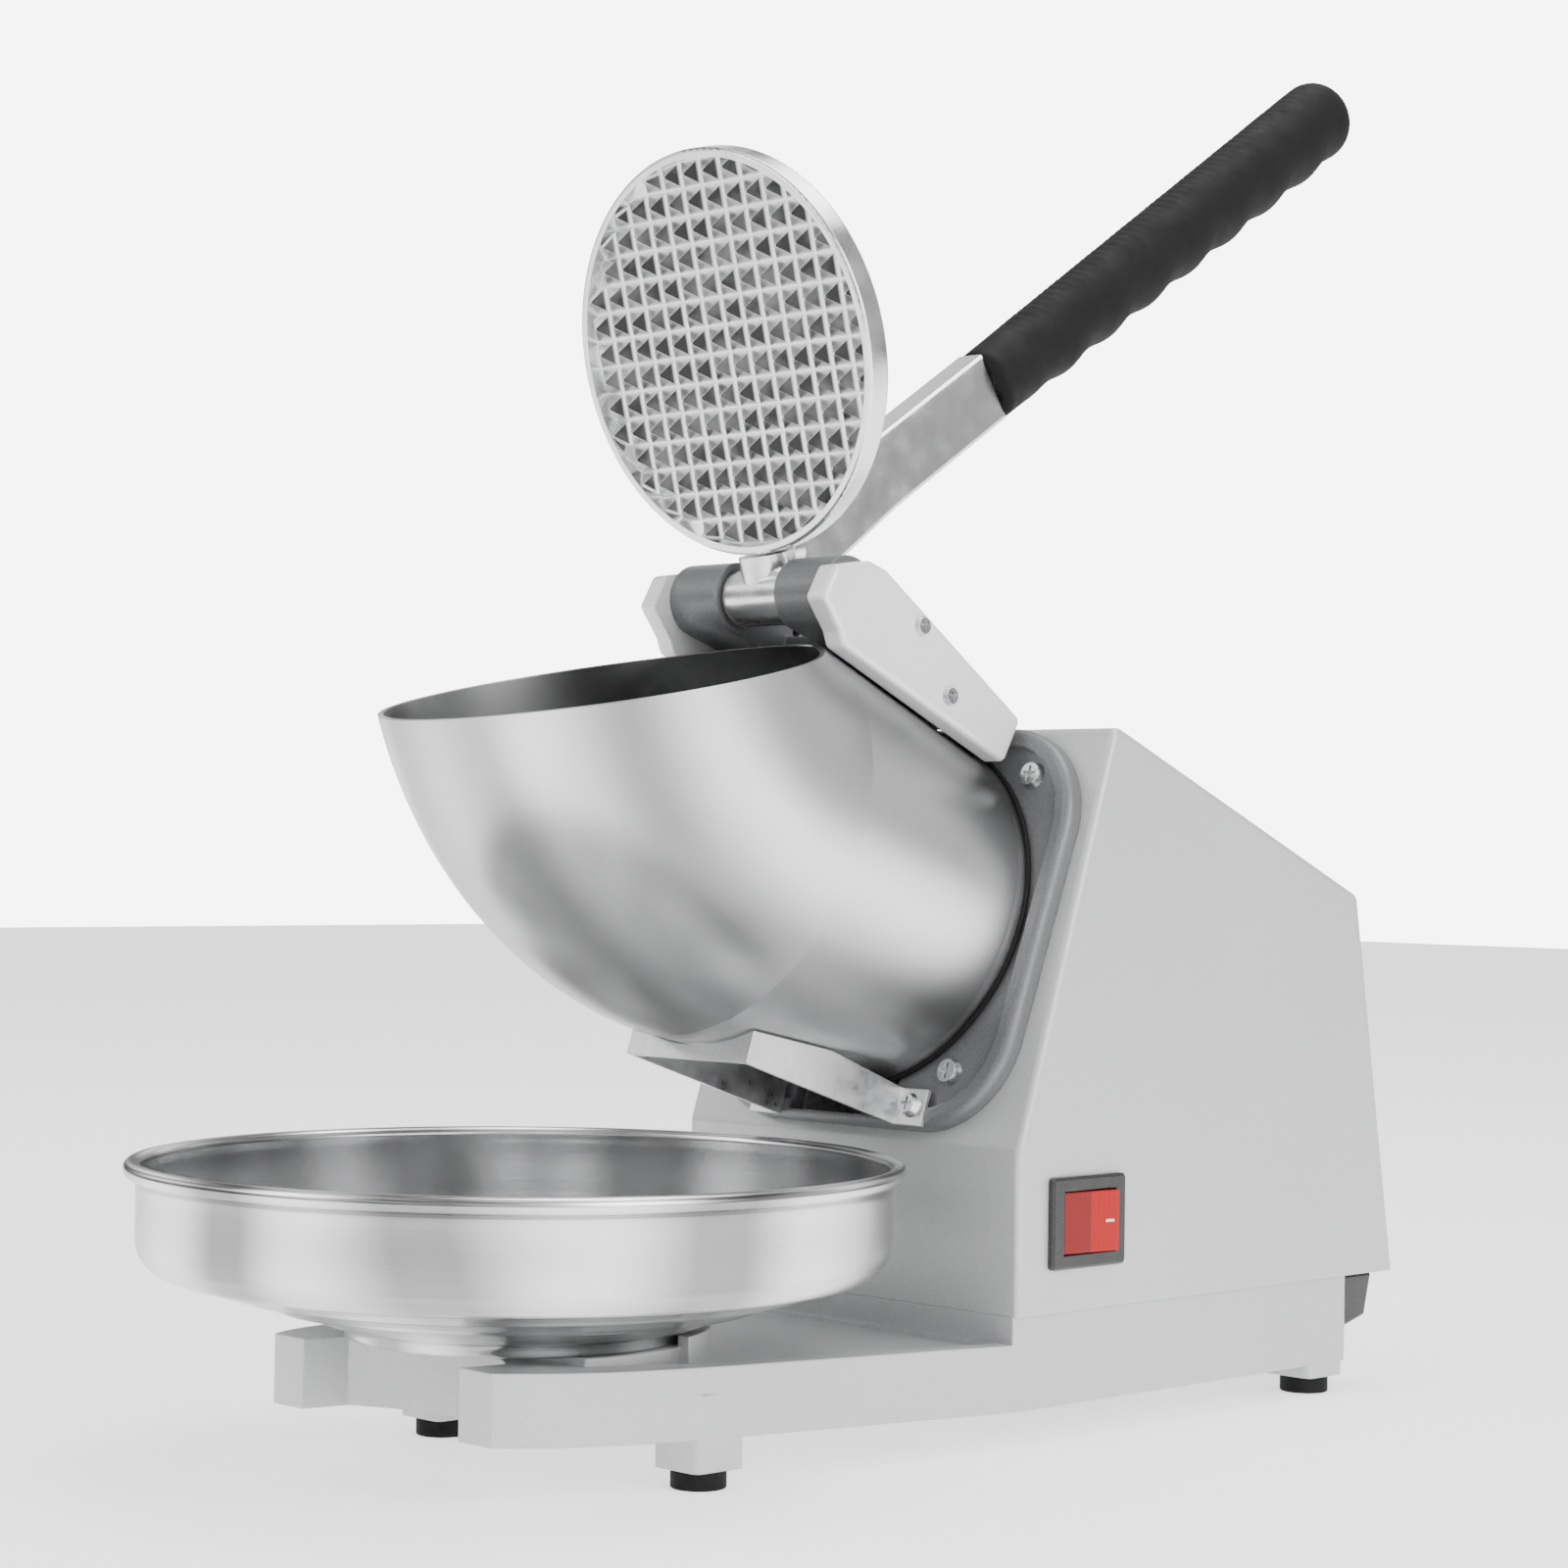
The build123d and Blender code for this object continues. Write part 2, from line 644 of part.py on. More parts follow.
with BuildPart() as guard:
    for side in (1, -1):
        cheek_x = side * (guard_half + guard_sheet / 2) - guard_sheet / 2
        cheek = [
            on_face(0, guard_low_s, flange_t),
            on_face(0, guard_high_s, flange_t),
            on_face(0, guard_front_s, guard_reach),
            on_face(0, guard_low_s, guard_reach),
        ]
        with BuildSketch(side_plane(cheek_x)):
            with BuildLine():
                Polyline(*[in_side(p) for p in cheek], close=True)
            make_face()
        extrude(amount=guard_sheet)
    with BuildSketch(face_plane(guard_reach - guard_sheet)):
        with Locations((0, (guard_low_s + guard_front_s) / 2)):
            Rectangle(2 * guard_half + 2 * guard_sheet, guard_front_s - guard_low_s)
    extrude(amount=guard_sheet)
    # the top edge follows the underside of the chute
    with BuildSketch(Plane(origin=on_face(0, chute_s, 0), x_dir=face_up, z_dir=(1, 0, 0))):
        with BuildLine():
            Polyline(
                (0, 0),
                (chute_base_r + guard_chute_gap, 0),
                (chute_base_r + guard_chute_gap, chute_taper_start),
                (chute_mouth_r + guard_chute_gap, pivot_h),
                (0, pivot_h),
                close=True,
            )
        make_face()
    revolve(axis=cutter_axis, mode=Mode.SUBTRACT)
    with BuildSketch(face_plane(flange_t)):
        for side in (1, -1):
            with Locations((side * tab_mid_x, guard_mid_s)):
                Rectangle(guard_tab + guard_sheet, guard_high_s - guard_low_s)
        with Locations(*guard_spots):
            Circle(guard_screw_r + screw_gap, mode=Mode.SUBTRACT)
    extrude(amount=guard_sheet)
save(guard.part, "guard_plate")
places = [face_plane(flange_t + guard_sheet, s, x) for x, s in guard_spots]
pan_screws("guard_screws", places, guard_screw_r, 5.5, 3.2, 2.2)

# ---- hinge bracket -------------------------------------------------------------------------
ear_inner_x = hub_half + ear_gap
web_front_h = 52.0


def side_outline(points):
    """Pairs of (height over the face, distance up it) as side-plane points."""
    return [in_side(on_face(0, s, h)) for h, s in points]


bracket_low = [(flange_t, 106.0), (40.0, 109.0)]
bracket_high = [(pivot_h, pivot_s - ear_r), (pivot_h - 3, pivot_s + ear_r), (flange_t, 109.0)]
web_low = [(flange_t, 106.0), (40.0, 109.0), (web_front_h, 110.2)]
web_high = [(web_front_h, 115.0), (flange_t, 108.0)]
bracket_foot_w = 5.8
bracket_foot_h = 16.0
plate_screw_spots = [(49.0, 117.5), (34.0, 104.8)]
boss_corners = [(27.0, 102.2), (41.0, 102.2), (41.0, 112.0), (27.0, 112.0)]
boss_t = 4.5
plate_screw_l = 10.0
with BuildPart() as bracket:
    for side in (1, -1):
        x_low = ear_inner_x if side > 0 else -ear_outer_x
        with BuildSketch(side_plane(x_low)):
            with BuildLine():
                Polyline(
                    *side_outline(bracket_low),
                    *side_outline(bracket_high),
                    close=True,
                )
            make_face()
            with Locations(in_side(pivot)):
                Circle(ear_r)
                Circle(pin_r + 0.03, mode=Mode.SUBTRACT)
        extrude(amount=ear_outer_x - ear_inner_x)
    with BuildSketch(side_plane(-ear_inner_x)):
        with BuildLine():
            Polyline(
                *side_outline(web_low),
                *side_outline(web_high),
                close=True,
            )
        make_face()
    extrude(amount=2 * ear_inner_x)
    # bosses that take the lower screws of the side plates
    for x_low in (ear_outer_x - boss_t, -ear_outer_x):
        with BuildSketch(side_plane(x_low)):
            with BuildLine():
                Polyline(*side_outline(boss_corners), close=True)
            make_face()
        extrude(amount=boss_t)
    # feet down to the flange beside the chute
    for side in (1, -1):
        with BuildSketch(face_plane(flange_t)):
            with Locations((side * (ear_inner_x + ear_outer_x) / 2, bracket_screw_s + 1.4)):
                Rectangle(ear_outer_x - ear_inner_x, bracket_foot_w)
        extrude(amount=bracket_foot_h)
    with BuildSketch(axis_plane(0)):
        Circle(chute_mouth_r - 2.6)
    extrude(amount=24.0, mode=Mode.SUBTRACT)
    with BuildSketch(face_plane()):
        with Locations(*bracket_spots):
            Circle(bracket_screw_r + fit_gap)
    extrude(amount=17.0, mode=Mode.SUBTRACT)
    with BuildSketch(side_plane(-ear_outer_x - 1)):
        with Locations(*side_outline(plate_screw_spots)):
            Circle(plate_screw_r + fit_gap)
    extrude(amount=2 * ear_outer_x + 2, mode=Mode.SUBTRACT)
save(bracket.part, "hinge_bracket")


# ---- side plates, hinge pin ----------------------------------------------------------------
plate_points = [
    (81.2, 120.9),
    (70.5, 126.2),
    (64.4, 126.2),
    (6.6, 108.7),
    (8.9, 96.0),
    (72.6, 103.2),
    (74.9, 106.2),
    (83.0, 112.0),
]
plate_corner_r = 2.0
plate_edge_r = 1.5
for side, name in ((1, "side_plate_right"), (-1, "side_plate_left")):
    with BuildPart() as side_plate:
        with BuildSketch(side_plane(ear_outer_x if side > 0 else -ear_outer_x - side_plate_t)) as face:
            with BuildLine():
                Polyline(*side_outline(plate_points), close=True)
            make_face()
            fillet(face.vertices(), plate_corner_r)
        extrude(amount=side_plate_t)
        outer_face = side_plate.faces().sort_by(Axis.X)[-1 if side > 0 else 0]
        fillet(outer_face.edges(), plate_edge_r)
        with BuildSketch(side_plane(-ear_outer_x - 2 * side_plate_t)):
            with Locations(*side_outline(plate_screw_spots)):
                Circle(plate_screw_r + screw_gap)
        extrude(amount=2 * ear_outer_x + 4 * side_plate_t, mode=Mode.SUBTRACT)
    save(side_plate.part, name)

places = []
for h, s in plate_screw_spots:
    spot = on_face(0, s, h)
    for side in (1, -1):
        outside = (side * (ear_outer_x + side_plate_t), spot.Y, spot.Z)
        places.append(Plane(origin=outside, x_dir=(0, 1, 0), z_dir=(side, 0, 0)))
pan_screws("side_plate_screws", places, plate_screw_r, plate_screw_l, 2.5, 1.3)
seat_h = bracket_screw_head_h + 0.1
places = [Plane(origin=on_face(x, s, seat_h), x_dir=(1, 0, 0), z_dir=-face_out) for x, s in bracket_spots]
pan_screws("bracket_screws", places, bracket_screw_r, 14.0, bracket_screw_head_r, bracket_screw_head_h)

with BuildPart() as pin:
    with BuildSketch(Plane(origin=pivot - Vector(ear_outer_x - 0.3, 0, 0), x_dir=(0, 1, 0), z_dir=(1, 0, 0))):
        Circle(pin_r)
    extrude(amount=2 * ear_outer_x - 0.6)
    chamfer(pin.edges(), 0.4)
save(pin.part, "hinge_pin")

with BuildPart() as washers:
    for x in (hub_half + 0.1, -ear_inner_x + 0.1):
        with BuildSketch(Plane(origin=pivot + Vector(x, 0, 0), x_dir=(0, 1, 0), z_dir=(1, 0, 0))):
            Circle(6.4)
            Circle(pin_r + pin_run_gap, mode=Mode.SUBTRACT)
        extrude(amount=ear_gap - 0.2)
save(washers.part, "hinge_washers")

# ---- pusher --------------------------------------------------------------------------------
disc_up = Vector(0, cos(radians(open_angle)), sin(radians(open_angle)))
disc_out = Vector(0, -sin(radians(open_angle)), cos(radians(open_angle)))


def disc_plane(t=0.0, r=0.0):
    """Plane parallel to the disc: local Y away from the hinge, local Z towards the waffle."""
    return Plane(origin=pivot + disc_up * r + disc_out * t, x_dir=(1, 0, 0), z_dir=disc_out)


disc_screw_spots = [(0, swing_r - 12.0), (0, swing_r + 12.0)]
cell_count = int(disc_r / pyramid_pitch)
pyramid_spots = []
for column in range(-cell_count, cell_count):
    for row in range(-cell_count, cell_count):
        x = (column + 0.5) * pyramid_pitch
        y = (row + 0.5) * pyramid_pitch
        if hypot(x, y) < disc_r - disc_rim_w + 0.2 * pyramid_pitch:
            pyramid_spots.append((x, y + swing_r))
floor_t = disc_back_t - disc_t / 2

with BuildPart() as waffle:
    with BuildSketch(disc_plane(floor_t)):
        with Locations(*pyramid_spots):
            Rectangle(pyramid_pitch - 0.5, pyramid_pitch - 0.5)
    extrude(amount=pyramid_h, taper=44)
    with BuildSketch(disc_plane(floor_t, swing_r)):
        Circle(disc_r - disc_rim_w + 0.4)
    extrude(amount=pyramid_h, mode=Mode.INTERSECT)

with BuildPart() as disc:
    with BuildSketch(disc_plane(-disc_t / 2, swing_r)):
        Circle(disc_r)
    extrude(amount=disc_t)
    fillet(disc.edges().filter_by(GeomType.CIRCLE), 0.8)
    with BuildSketch(disc_plane(disc_t / 2, swing_r)):
        Circle(disc_r - disc_rim_w)
    extrude(amount=-(disc_t - disc_back_t), mode=Mode.SUBTRACT)
    add(waffle.part)
    with BuildSketch(disc_plane(-disc_t / 2)):
        with Locations(*disc_screw_spots):
            Circle(1.5)
    extrude(amount=2.0, mode=Mode.SUBTRACT)
save(disc.part, "pusher_disc")

grip_dir = Vector(0, cos(radians(handle_angle)), sin(radians(handle_angle)))
grip_side = Vector(0, -sin(radians(handle_angle)), cos(radians(handle_angle)))
grip_base = Vector(0, *grip_start)
grip_axis = Axis(grip_base, grip_dir)


def along_grip(distance, rise):
    """Side-plane point at a distance along the grip's axis and a rise above it."""
    return in_side(grip_base + grip_dir * distance + grip_side * rise)


arm_half_w = 9.4
with BuildPart() as arm:
    # flat arm from the hub up to the grip
    with BuildSketch(side_plane(-arm_t / 2)) as arm_face:
        with BuildLine():
            Polyline(
                in_side(pivot + Vector(0, 5.5, -1.0)),
                along_grip(-50.0, -arm_half_w),
                along_grip(0, -arm_half_w),
                along_grip(0, arm_half_w),
                along_grip(-60.0, arm_half_w),
                in_side(pivot + disc_up * 34.0 - disc_out * (disc_t / 2 + lug_t - 0.5)),
                in_side(pivot + disc_up * 2.0 - disc_out * (disc_t / 2 + lug_t - 0.5)),
                close=True,
            )
        make_face()
    extrude(amount=arm_t)
    fillet(arm.edges().filter_by(lambda e: abs(e.tangent_at(0.5).X) < 0.1), 1.6)
    # tang inside the grip
    with BuildSketch(Plane(origin=grip_base - grip_dir * 4, x_dir=(1, 0, 0), z_dir=grip_dir)):
        Circle(tang_r)
    extrude(amount=grip_length - 12)
    # lug behind the disc
    with BuildSketch(disc_plane(-disc_t / 2 - lug_t)):
        with Locations((0, swing_r / 2 + 9.5)):
            RectangleRounded(lug_w, swing_r + 7, 5)
    extrude(amount=lug_t)
    # hub and the neck under the disc
    with BuildSketch(Plane(origin=pivot - Vector(hub_half, 0, 0), x_dir=(0, 1, 0), z_dir=(1, 0, 0))):
        Circle(hub_r)
    extrude(amount=2 * hub_half)
    with BuildSketch(Plane(origin=pivot, x_dir=(1, 0, 0), z_dir=disc_up)):
        Circle(6.2)
    extrude(amount=swing_r - disc_r - 0.25)
    with BuildSketch(disc_plane(-disc_t / 2)):
        with Locations((0, (swing_r - disc_r) / 2)):
            Rectangle(12.0, swing_r - disc_r - 0.5)
    extrude(amount=-1.0)
    with BuildSketch(Plane(origin=pivot - Vector(hub_half + 1, 0, 0), x_dir=(0, 1, 0), z_dir=(1, 0, 0))):
        Circle(pin_r + pin_run_gap)
    extrude(amount=2 * hub_half + 2, mode=Mode.SUBTRACT)
    with BuildSketch(disc_plane(-disc_t / 2 - lug_t)):
        with Locations(*disc_screw_spots):
            Circle(1.5 + screw_gap)
    extrude(amount=lug_t, mode=Mode.SUBTRACT)
    with BuildSketch(disc_plane(-disc_t / 2 - lug_t)):
        with Locations(*disc_screw_spots):
            Circle(3.6)
    extrude(amount=-30, mode=Mode.SUBTRACT)
save(arm.part, "pusher_arm")

places = [
    Plane(origin=pivot + disc_up * r - disc_out * (disc_t / 2 + lug_t), x_dir=(1, 0, 0), z_dir=-disc_out)
    for x, r in disc_screw_spots
]
pan_screws("disc_screws", places, 1.5, lug_t + 1.8, 3.0, 1.6)

with BuildPart() as grip:
    with BuildSketch(Plane(origin=grip_base, x_dir=grip_dir, z_dir=(1, 0, 0))):
        with BuildLine():
            Polyline((0, 0), (0, grip_start_r - 1.5), (1.5, grip_start_r), (grip_length - grip_end_r, grip_end_r))
            ThreePointArc(
                (grip_length - grip_end_r, grip_end_r),
                (grip_length - grip_end_r + grip_end_r * sqrt(0.5), grip_end_r * sqrt(0.5)),
                (grip_length, 0),
            )
            Line((grip_length, 0), (0, 0))
        make_face()
    revolve(axis=grip_axis)
    with BuildSketch(Plane(origin=grip_base, x_dir=(1, 0, 0), z_dir=grip_dir)):
        Circle(tang_r + fit_gap)
    extrude(amount=grip_length - 12.0, mode=Mode.SUBTRACT)
save(grip.part, "grip")

# ---- bowl ----------------------------------------------------------------------------------
with BuildPart() as bowl:
    with BuildSketch(Plane(origin=(0, bowl_y, 0), x_dir=(1, 0, 0), z_dir=(0, -1, 0))):
        with BuildLine() as section:
            foot_in = bowl_foot_r - 1.5
            Polyline(
                (0, seat_top_z + bowl_foot_h),
                (foot_in, seat_top_z + bowl_foot_h),
                (foot_in, seat_top_z),
                (bowl_foot_r, seat_top_z),
                (bowl_foot_r, seat_top_z + bowl_foot_h),
                (bowl_wall_r - bowl_corner_r, bowl_side_bottom_z),
            )
            ThreePointArc(
                (bowl_wall_r - bowl_corner_r, bowl_side_bottom_z),
                (bowl_wall_r - 0.29 * bowl_corner_r, bowl_side_bottom_z + 0.29 * bowl_corner_r + 0.8),
                (bowl_wall_r, bowl_side_bottom_z + bowl_corner_r + 1.0),
            )
            inner = bowl_wall_r - bowl_wall
            Polyline(
                (bowl_wall_r, bowl_side_bottom_z + bowl_corner_r + 1.0),
                (bowl_wall_r, bowl_rim_z - bowl_rim_tube_r),
                (inner, bowl_rim_z - bowl_rim_tube_r),
                (inner, bowl_side_bottom_z + bowl_corner_r + 1.0),
            )
            ThreePointArc(
                (inner, bowl_side_bottom_z + bowl_corner_r + 1.0),
                (inner - 0.29 * bowl_corner_r, bowl_side_bottom_z + 0.29 * bowl_corner_r + 1.8),
                (inner - bowl_corner_r, bowl_side_bottom_z + bowl_wall),
            )
            Polyline(
                (inner - bowl_corner_r, bowl_side_bottom_z + bowl_wall),
                (bowl_foot_r, seat_top_z + bowl_foot_h + bowl_wall),
                (0, seat_top_z + bowl_foot_h + bowl_wall),
                (0, seat_top_z + bowl_foot_h),
            )
        make_face()
        with Locations((bowl_rim_r, bowl_rim_z - bowl_rim_tube_r)):
            Circle(bowl_rim_tube_r)
    revolve(axis=Axis((0, bowl_y, 0), (0, 0, 1)))
save(bowl.part, "bowl")

# ---- motor ---------------------------------------------------------------------------------
front_cap_h = -housing_depth
can_h = front_cap_h - motor_cap_t
rear_cap_h = can_h - motor_can_l
motor_end_h = rear_cap_h - motor_cap_t
bolt_planes = [
    Plane(
        origin=on_face(motor_bolt_ring * cos(radians(a)), chute_s + motor_bolt_ring * sin(radians(a)), motor_end_h),
        x_dir=(1, 0, 0),
        z_dir=-face_out,
    )
    for a in (45, 135, 225, 315)
]


def motor_bolt_holes(low, high, radius):
    """Four holes for the motor's long bolts, cut from the part being built."""
    with BuildSketch(axis_plane(low)) as holes:
        with PolarLocations(motor_bolt_ring, 4, start_angle=45):
            Circle(radius)
    extrude(holes.sketch, amount=high - low, mode=Mode.SUBTRACT)


with BuildPart() as front_cap:
    tube(shaft_r + 1.0, motor_r + 1.5, can_h, front_cap_h)
    tube(bearing_r + fit_gap, motor_r, front_cap_h - bearing_w, front_cap_h)
    with BuildSketch(axis_plane(front_cap_h)):
        Circle(bearing_r + fit_gap)
    extrude(amount=-bearing_w, mode=Mode.SUBTRACT)
    motor_bolt_holes(can_h, front_cap_h, motor_bolt_r + screw_gap)
save(front_cap.part, "motor_front_cap")

with BuildPart() as can:
    tube(motor_r - motor_wall, motor_r, rear_cap_h, can_h)
save(can.part, "motor_can")

with BuildPart() as rear_cap:
    tube(0, motor_r + 1.5, motor_end_h, rear_cap_h)
    with BuildSketch(axis_plane(rear_cap_h)):
        Circle(bearing_r + fit_gap)
    extrude(amount=-bearing_w, mode=Mode.SUBTRACT)
    with BuildSketch(axis_plane(motor_end_h)):
        with PolarLocations(22.0, 8, start_angle=22.5):
            Circle(4.0)
    extrude(amount=motor_cap_t, mode=Mode.SUBTRACT)
    motor_bolt_holes(motor_end_h, rear_cap_h, motor_bolt_r + screw_gap)
save(rear_cap.part, "motor_rear_cap")

bolt_l = front_cap_h - motor_end_h + housing_floor - 0.5
pan_screws("motor_bolts", bolt_planes, motor_bolt_r, bolt_l, 3.4, 2.4)

stator_l = 36.0
stator_h = can_h - 12.0
winding_l = 7.0
winding_r = 31.0
with BuildPart() as stator:
    tube(rotor_r + air_gap, stator_r, stator_h - stator_l, stator_h)
    motor_bolt_holes(stator_h - stator_l, stator_h, motor_bolt_r + screw_gap)
save(stator.part, "stator_core")
with BuildPart() as windings:
    tube(rotor_r + 2.5, winding_r, stator_h, stator_h + winding_l)
    tube(rotor_r + 2.5, winding_r, stator_h - stator_l - winding_l, stator_h - stator_l)
save(windings.part, "stator_windings")

for name, low in (("front_bearing", front_cap_h - bearing_w), ("rear_bearing", rear_cap_h - bearing_w)):
    with BuildPart() as bearing:
        tube(shaft_r + 0.05, bearing_r, low, low + bearing_w)
    save(bearing.part, name)

# ---- cutter: shaft, rotor, disc and blades -------------------------------------------------
shaft_top_h = cutter_top_h
shaft_end_h = rear_cap_h - bearing_w + 0.5
nut_h = 5.0
blade_angle = 40.0
blade_slot_gap = 2.5
with BuildPart() as shaft:
    tube(0, shaft_r, shaft_end_h, shaft_top_h)
    tube(0, shaft_r + 3.0, cutter_top_h - cutter_t - 4.0, cutter_top_h - cutter_t)
    tube(0, 3.0, shaft_top_h, shaft_top_h + nut_h + 1.5)
save(shaft.part, "cutter_shaft")
with BuildPart() as rotor:
    tube(shaft_r, rotor_r, stator_h - stator_l, stator_h)
save(rotor.part, "rotor_core")
blade_r = cutter_r - 4.0 - blade_l / 2
blade_spots = [(blade_r, 0), (-blade_r, 0)]
blade_screw_offset = 9.0
with BuildPart() as cutter_disc:
    tube(shaft_r, cutter_r, cutter_top_h - cutter_t, cutter_top_h)
    with BuildSketch(axis_plane(cutter_top_h - cutter_t)):
        for side in (1, -1):
            with Locations((side * blade_r, side * (blade_w / 2 + blade_slot_gap / 2))):
                SlotOverall(blade_l, blade_slot_gap)
    extrude(amount=cutter_t, mode=Mode.SUBTRACT)
    with BuildSketch(axis_plane(cutter_top_h)):
        for side in (1, -1):
            for along in (-blade_screw_offset, blade_screw_offset):
                with Locations((side * (blade_r + along), 0)):
                    Circle(1.4)
    extrude(amount=-2.0, mode=Mode.SUBTRACT)
save(cutter_disc.part, "cutter_disc")
with BuildPart() as blades:
    with BuildSketch(axis_plane(cutter_top_h)):
        for side in (1, -1):
            with Locations((side * blade_r, 0)):
                Rectangle(blade_l, blade_w)
            for along in (-blade_screw_offset, blade_screw_offset):
                with Locations((side * (blade_r + along), 0)):
                    Circle(1.4 + screw_gap, mode=Mode.SUBTRACT)
    extrude(amount=blade_t)
save(blades.part, "cutter_blades")
places = []
for side in (1, -1):
    for along in (-blade_screw_offset, blade_screw_offset):
        places.append(face_plane(cutter_top_h + blade_t, chute_s, side * (blade_r + along)))
pan_screws("blade_screws", places, 1.4, 2.8, 2.6, 1.2)
with BuildPart() as nut:
    with BuildSketch(axis_plane(shaft_top_h)):
        RegularPolygon(6.0, 6)
        Circle(3.0, mode=Mode.SUBTRACT)
    extrude(amount=nut_h)
save(nut.part, "cutter_nut")

# ---- motor cradle and electrical pieces ----------------------------------------------------
cradle_h = can_h - 30.0
cradle_l = 14.0
cradle_half = 26.0
cradle_mid = on_face(0, chute_s, cradle_h)
with BuildPart() as cradle:
    with BuildSketch(Plane.XY.offset(cover_bottom_z)):
        with Locations((0, cradle_mid.Y)):
            Rectangle(2 * cradle_half, cradle_l)
    extrude(amount=cradle_mid.Z - 22.0 - cover_bottom_z)
    with BuildSketch(axis_plane(cradle_h - 40)):
        Circle(motor_r + fit_gap)
    extrude(amount=80, mode=Mode.SUBTRACT)
save(cradle.part, "motor_cradle")

cap_r = 13.0
cap_l = 24.0
clip_t = 1.5
clip_h = 9.0
cap_spot = (-36.0, 95.5)
terminal_spot = (34.0, 99.5)
terminal_size = (16.0, 36.0, 10.0)
with BuildPart() as clip:
    with BuildSketch(Plane.XY.offset(cover_bottom_z)):
        with Locations(cap_spot):
            Circle(cap_r + clip_t + fit_gap)
            Circle(cap_r + fit_gap, mode=Mode.SUBTRACT)
    extrude(amount=clip_h)
save(clip.part, "capacitor_clip")
with BuildPart() as capacitor:
    with BuildSketch(Plane.XY.offset(cover_bottom_z)):
        with Locations(cap_spot):
            Circle(cap_r)
    extrude(amount=cap_l)
    fillet(capacitor.edges().group_by(Axis.Z)[-1], 1.5)
save(capacitor.part, "run_capacitor")
with BuildPart() as terminals:
    with BuildSketch(Plane.XY.offset(cover_bottom_z)):
        with Locations(terminal_spot):
            RectangleRounded(terminal_size[0], terminal_size[1], 1.5)
    extrude(amount=terminal_size[2])
    with BuildSketch(Plane.XY.offset(cover_bottom_z + terminal_size[2])):
        with Locations(terminal_spot):
            with GridLocations(8.0, 8.0, 2, 4):
                Circle(2.0)
    extrude(amount=-4.0, mode=Mode.SUBTRACT)
save(terminals.part, "terminal_block")

# black inlet box under the cover's rear overhang, with the bore the supply enters by
inlet_low_x = 21.0
inlet_high_x = 54.0
inlet_depth = 14.5
inlet_bore_r = 4.0
inlet_mid = ((inlet_low_x + inlet_high_x) / 2, 24.5)
with BuildPart() as inlet:
    with BuildSketch(side_plane(inlet_low_x)):
        with BuildLine():
            Polyline(
                (base_rear_y, cover_bottom_z - 0.6),
                (base_rear_y + inlet_depth, cover_bottom_z - 0.6),
                (base_rear_y + inlet_depth - 3.0, 19.0),
                (base_rear_y, 16.0),
                close=True,
            )
        make_face()
    extrude(amount=inlet_high_x - inlet_low_x)
    fillet(inlet.edges().filter_by(lambda e: e.center().Y > base_rear_y + 1), 1.0)
    with BuildSketch(Plane(origin=(inlet_mid[0], base_rear_y, inlet_mid[1]), x_dir=(-1, 0, 0), z_dir=(0, 1, 0))):
        Circle(inlet_bore_r)
    extrude(amount=inlet_depth + 1, mode=Mode.SUBTRACT)
save(inlet.part, "cord_inlet")

# ---- switch --------------------------------------------------------------------------------
switch_depth = 16.0
rocker_edge = 0.5
switch_center = Vector(half, switch_y, switch_z)
with BuildPart() as bezel:
    with BuildSketch(side_plane(half)):
        with Locations((switch_y, switch_z)):
            RectangleRounded(bezel_y, bezel_z, 1.2)
    extrude(amount=bezel_t)
    chamfer(bezel.faces().sort_by(Axis.X)[-1].edges(), 0.6)
    with BuildSketch(side_plane(half - switch_depth)):
        with Locations((switch_y, switch_z)):
            Rectangle(bezel_y - 3.0 - 2 * fit_gap, bezel_z - 3.0 - 2 * fit_gap)
    extrude(amount=switch_depth)
    with BuildSketch(side_plane(half + bezel_t - 9.0)):
        with Locations((switch_y, switch_z)):
            Rectangle(rocker_y + 2 * rocker_gap, rocker_z + 2 * rocker_gap)
    extrude(amount=9.0, mode=Mode.SUBTRACT)
save(bezel.part, "switch_housing")

rocker_pivot = switch_center + Vector(bezel_t - rocker_sink, 0, 0)
rocker_rise = tan(radians(rocker_tilt)) * rocker_y / 2
with BuildPart() as rocker:
    # two faces that meet in a shallow valley on the pivot's line
    with BuildSketch(Plane(origin=rocker_pivot, x_dir=(1, 0, 0), z_dir=(0, 0, 1))) as plan:
        with BuildLine():
            Polyline(
                (-rocker_depth, -rocker_y / 2 + rocker_edge),
                (rocker_sink - 0.3, -rocker_y / 2 + 0.1),
                (rocker_sink + 0.2, 0),
                (rocker_sink + 2 * rocker_rise - 0.6, rocker_y / 2 - 0.25),
                (-rocker_depth, rocker_y / 2 - rocker_edge),
                close=True,
            )
        make_face()
    extrude(amount=rocker_z / 2, both=True)
save(rocker.part, "switch_rocker")
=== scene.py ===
"""Shaved ice machine: finishes for every machined piece, the soft and fitted details, and a studio."""

import json
from math import cos, pi, radians, sin

import bpy
from bpy.props import FloatProperty, FloatVectorProperty, IntProperty, PointerProperty
from bpy.types import Operator, Panel, PropertyGroup
from mathutils import Matrix, Vector


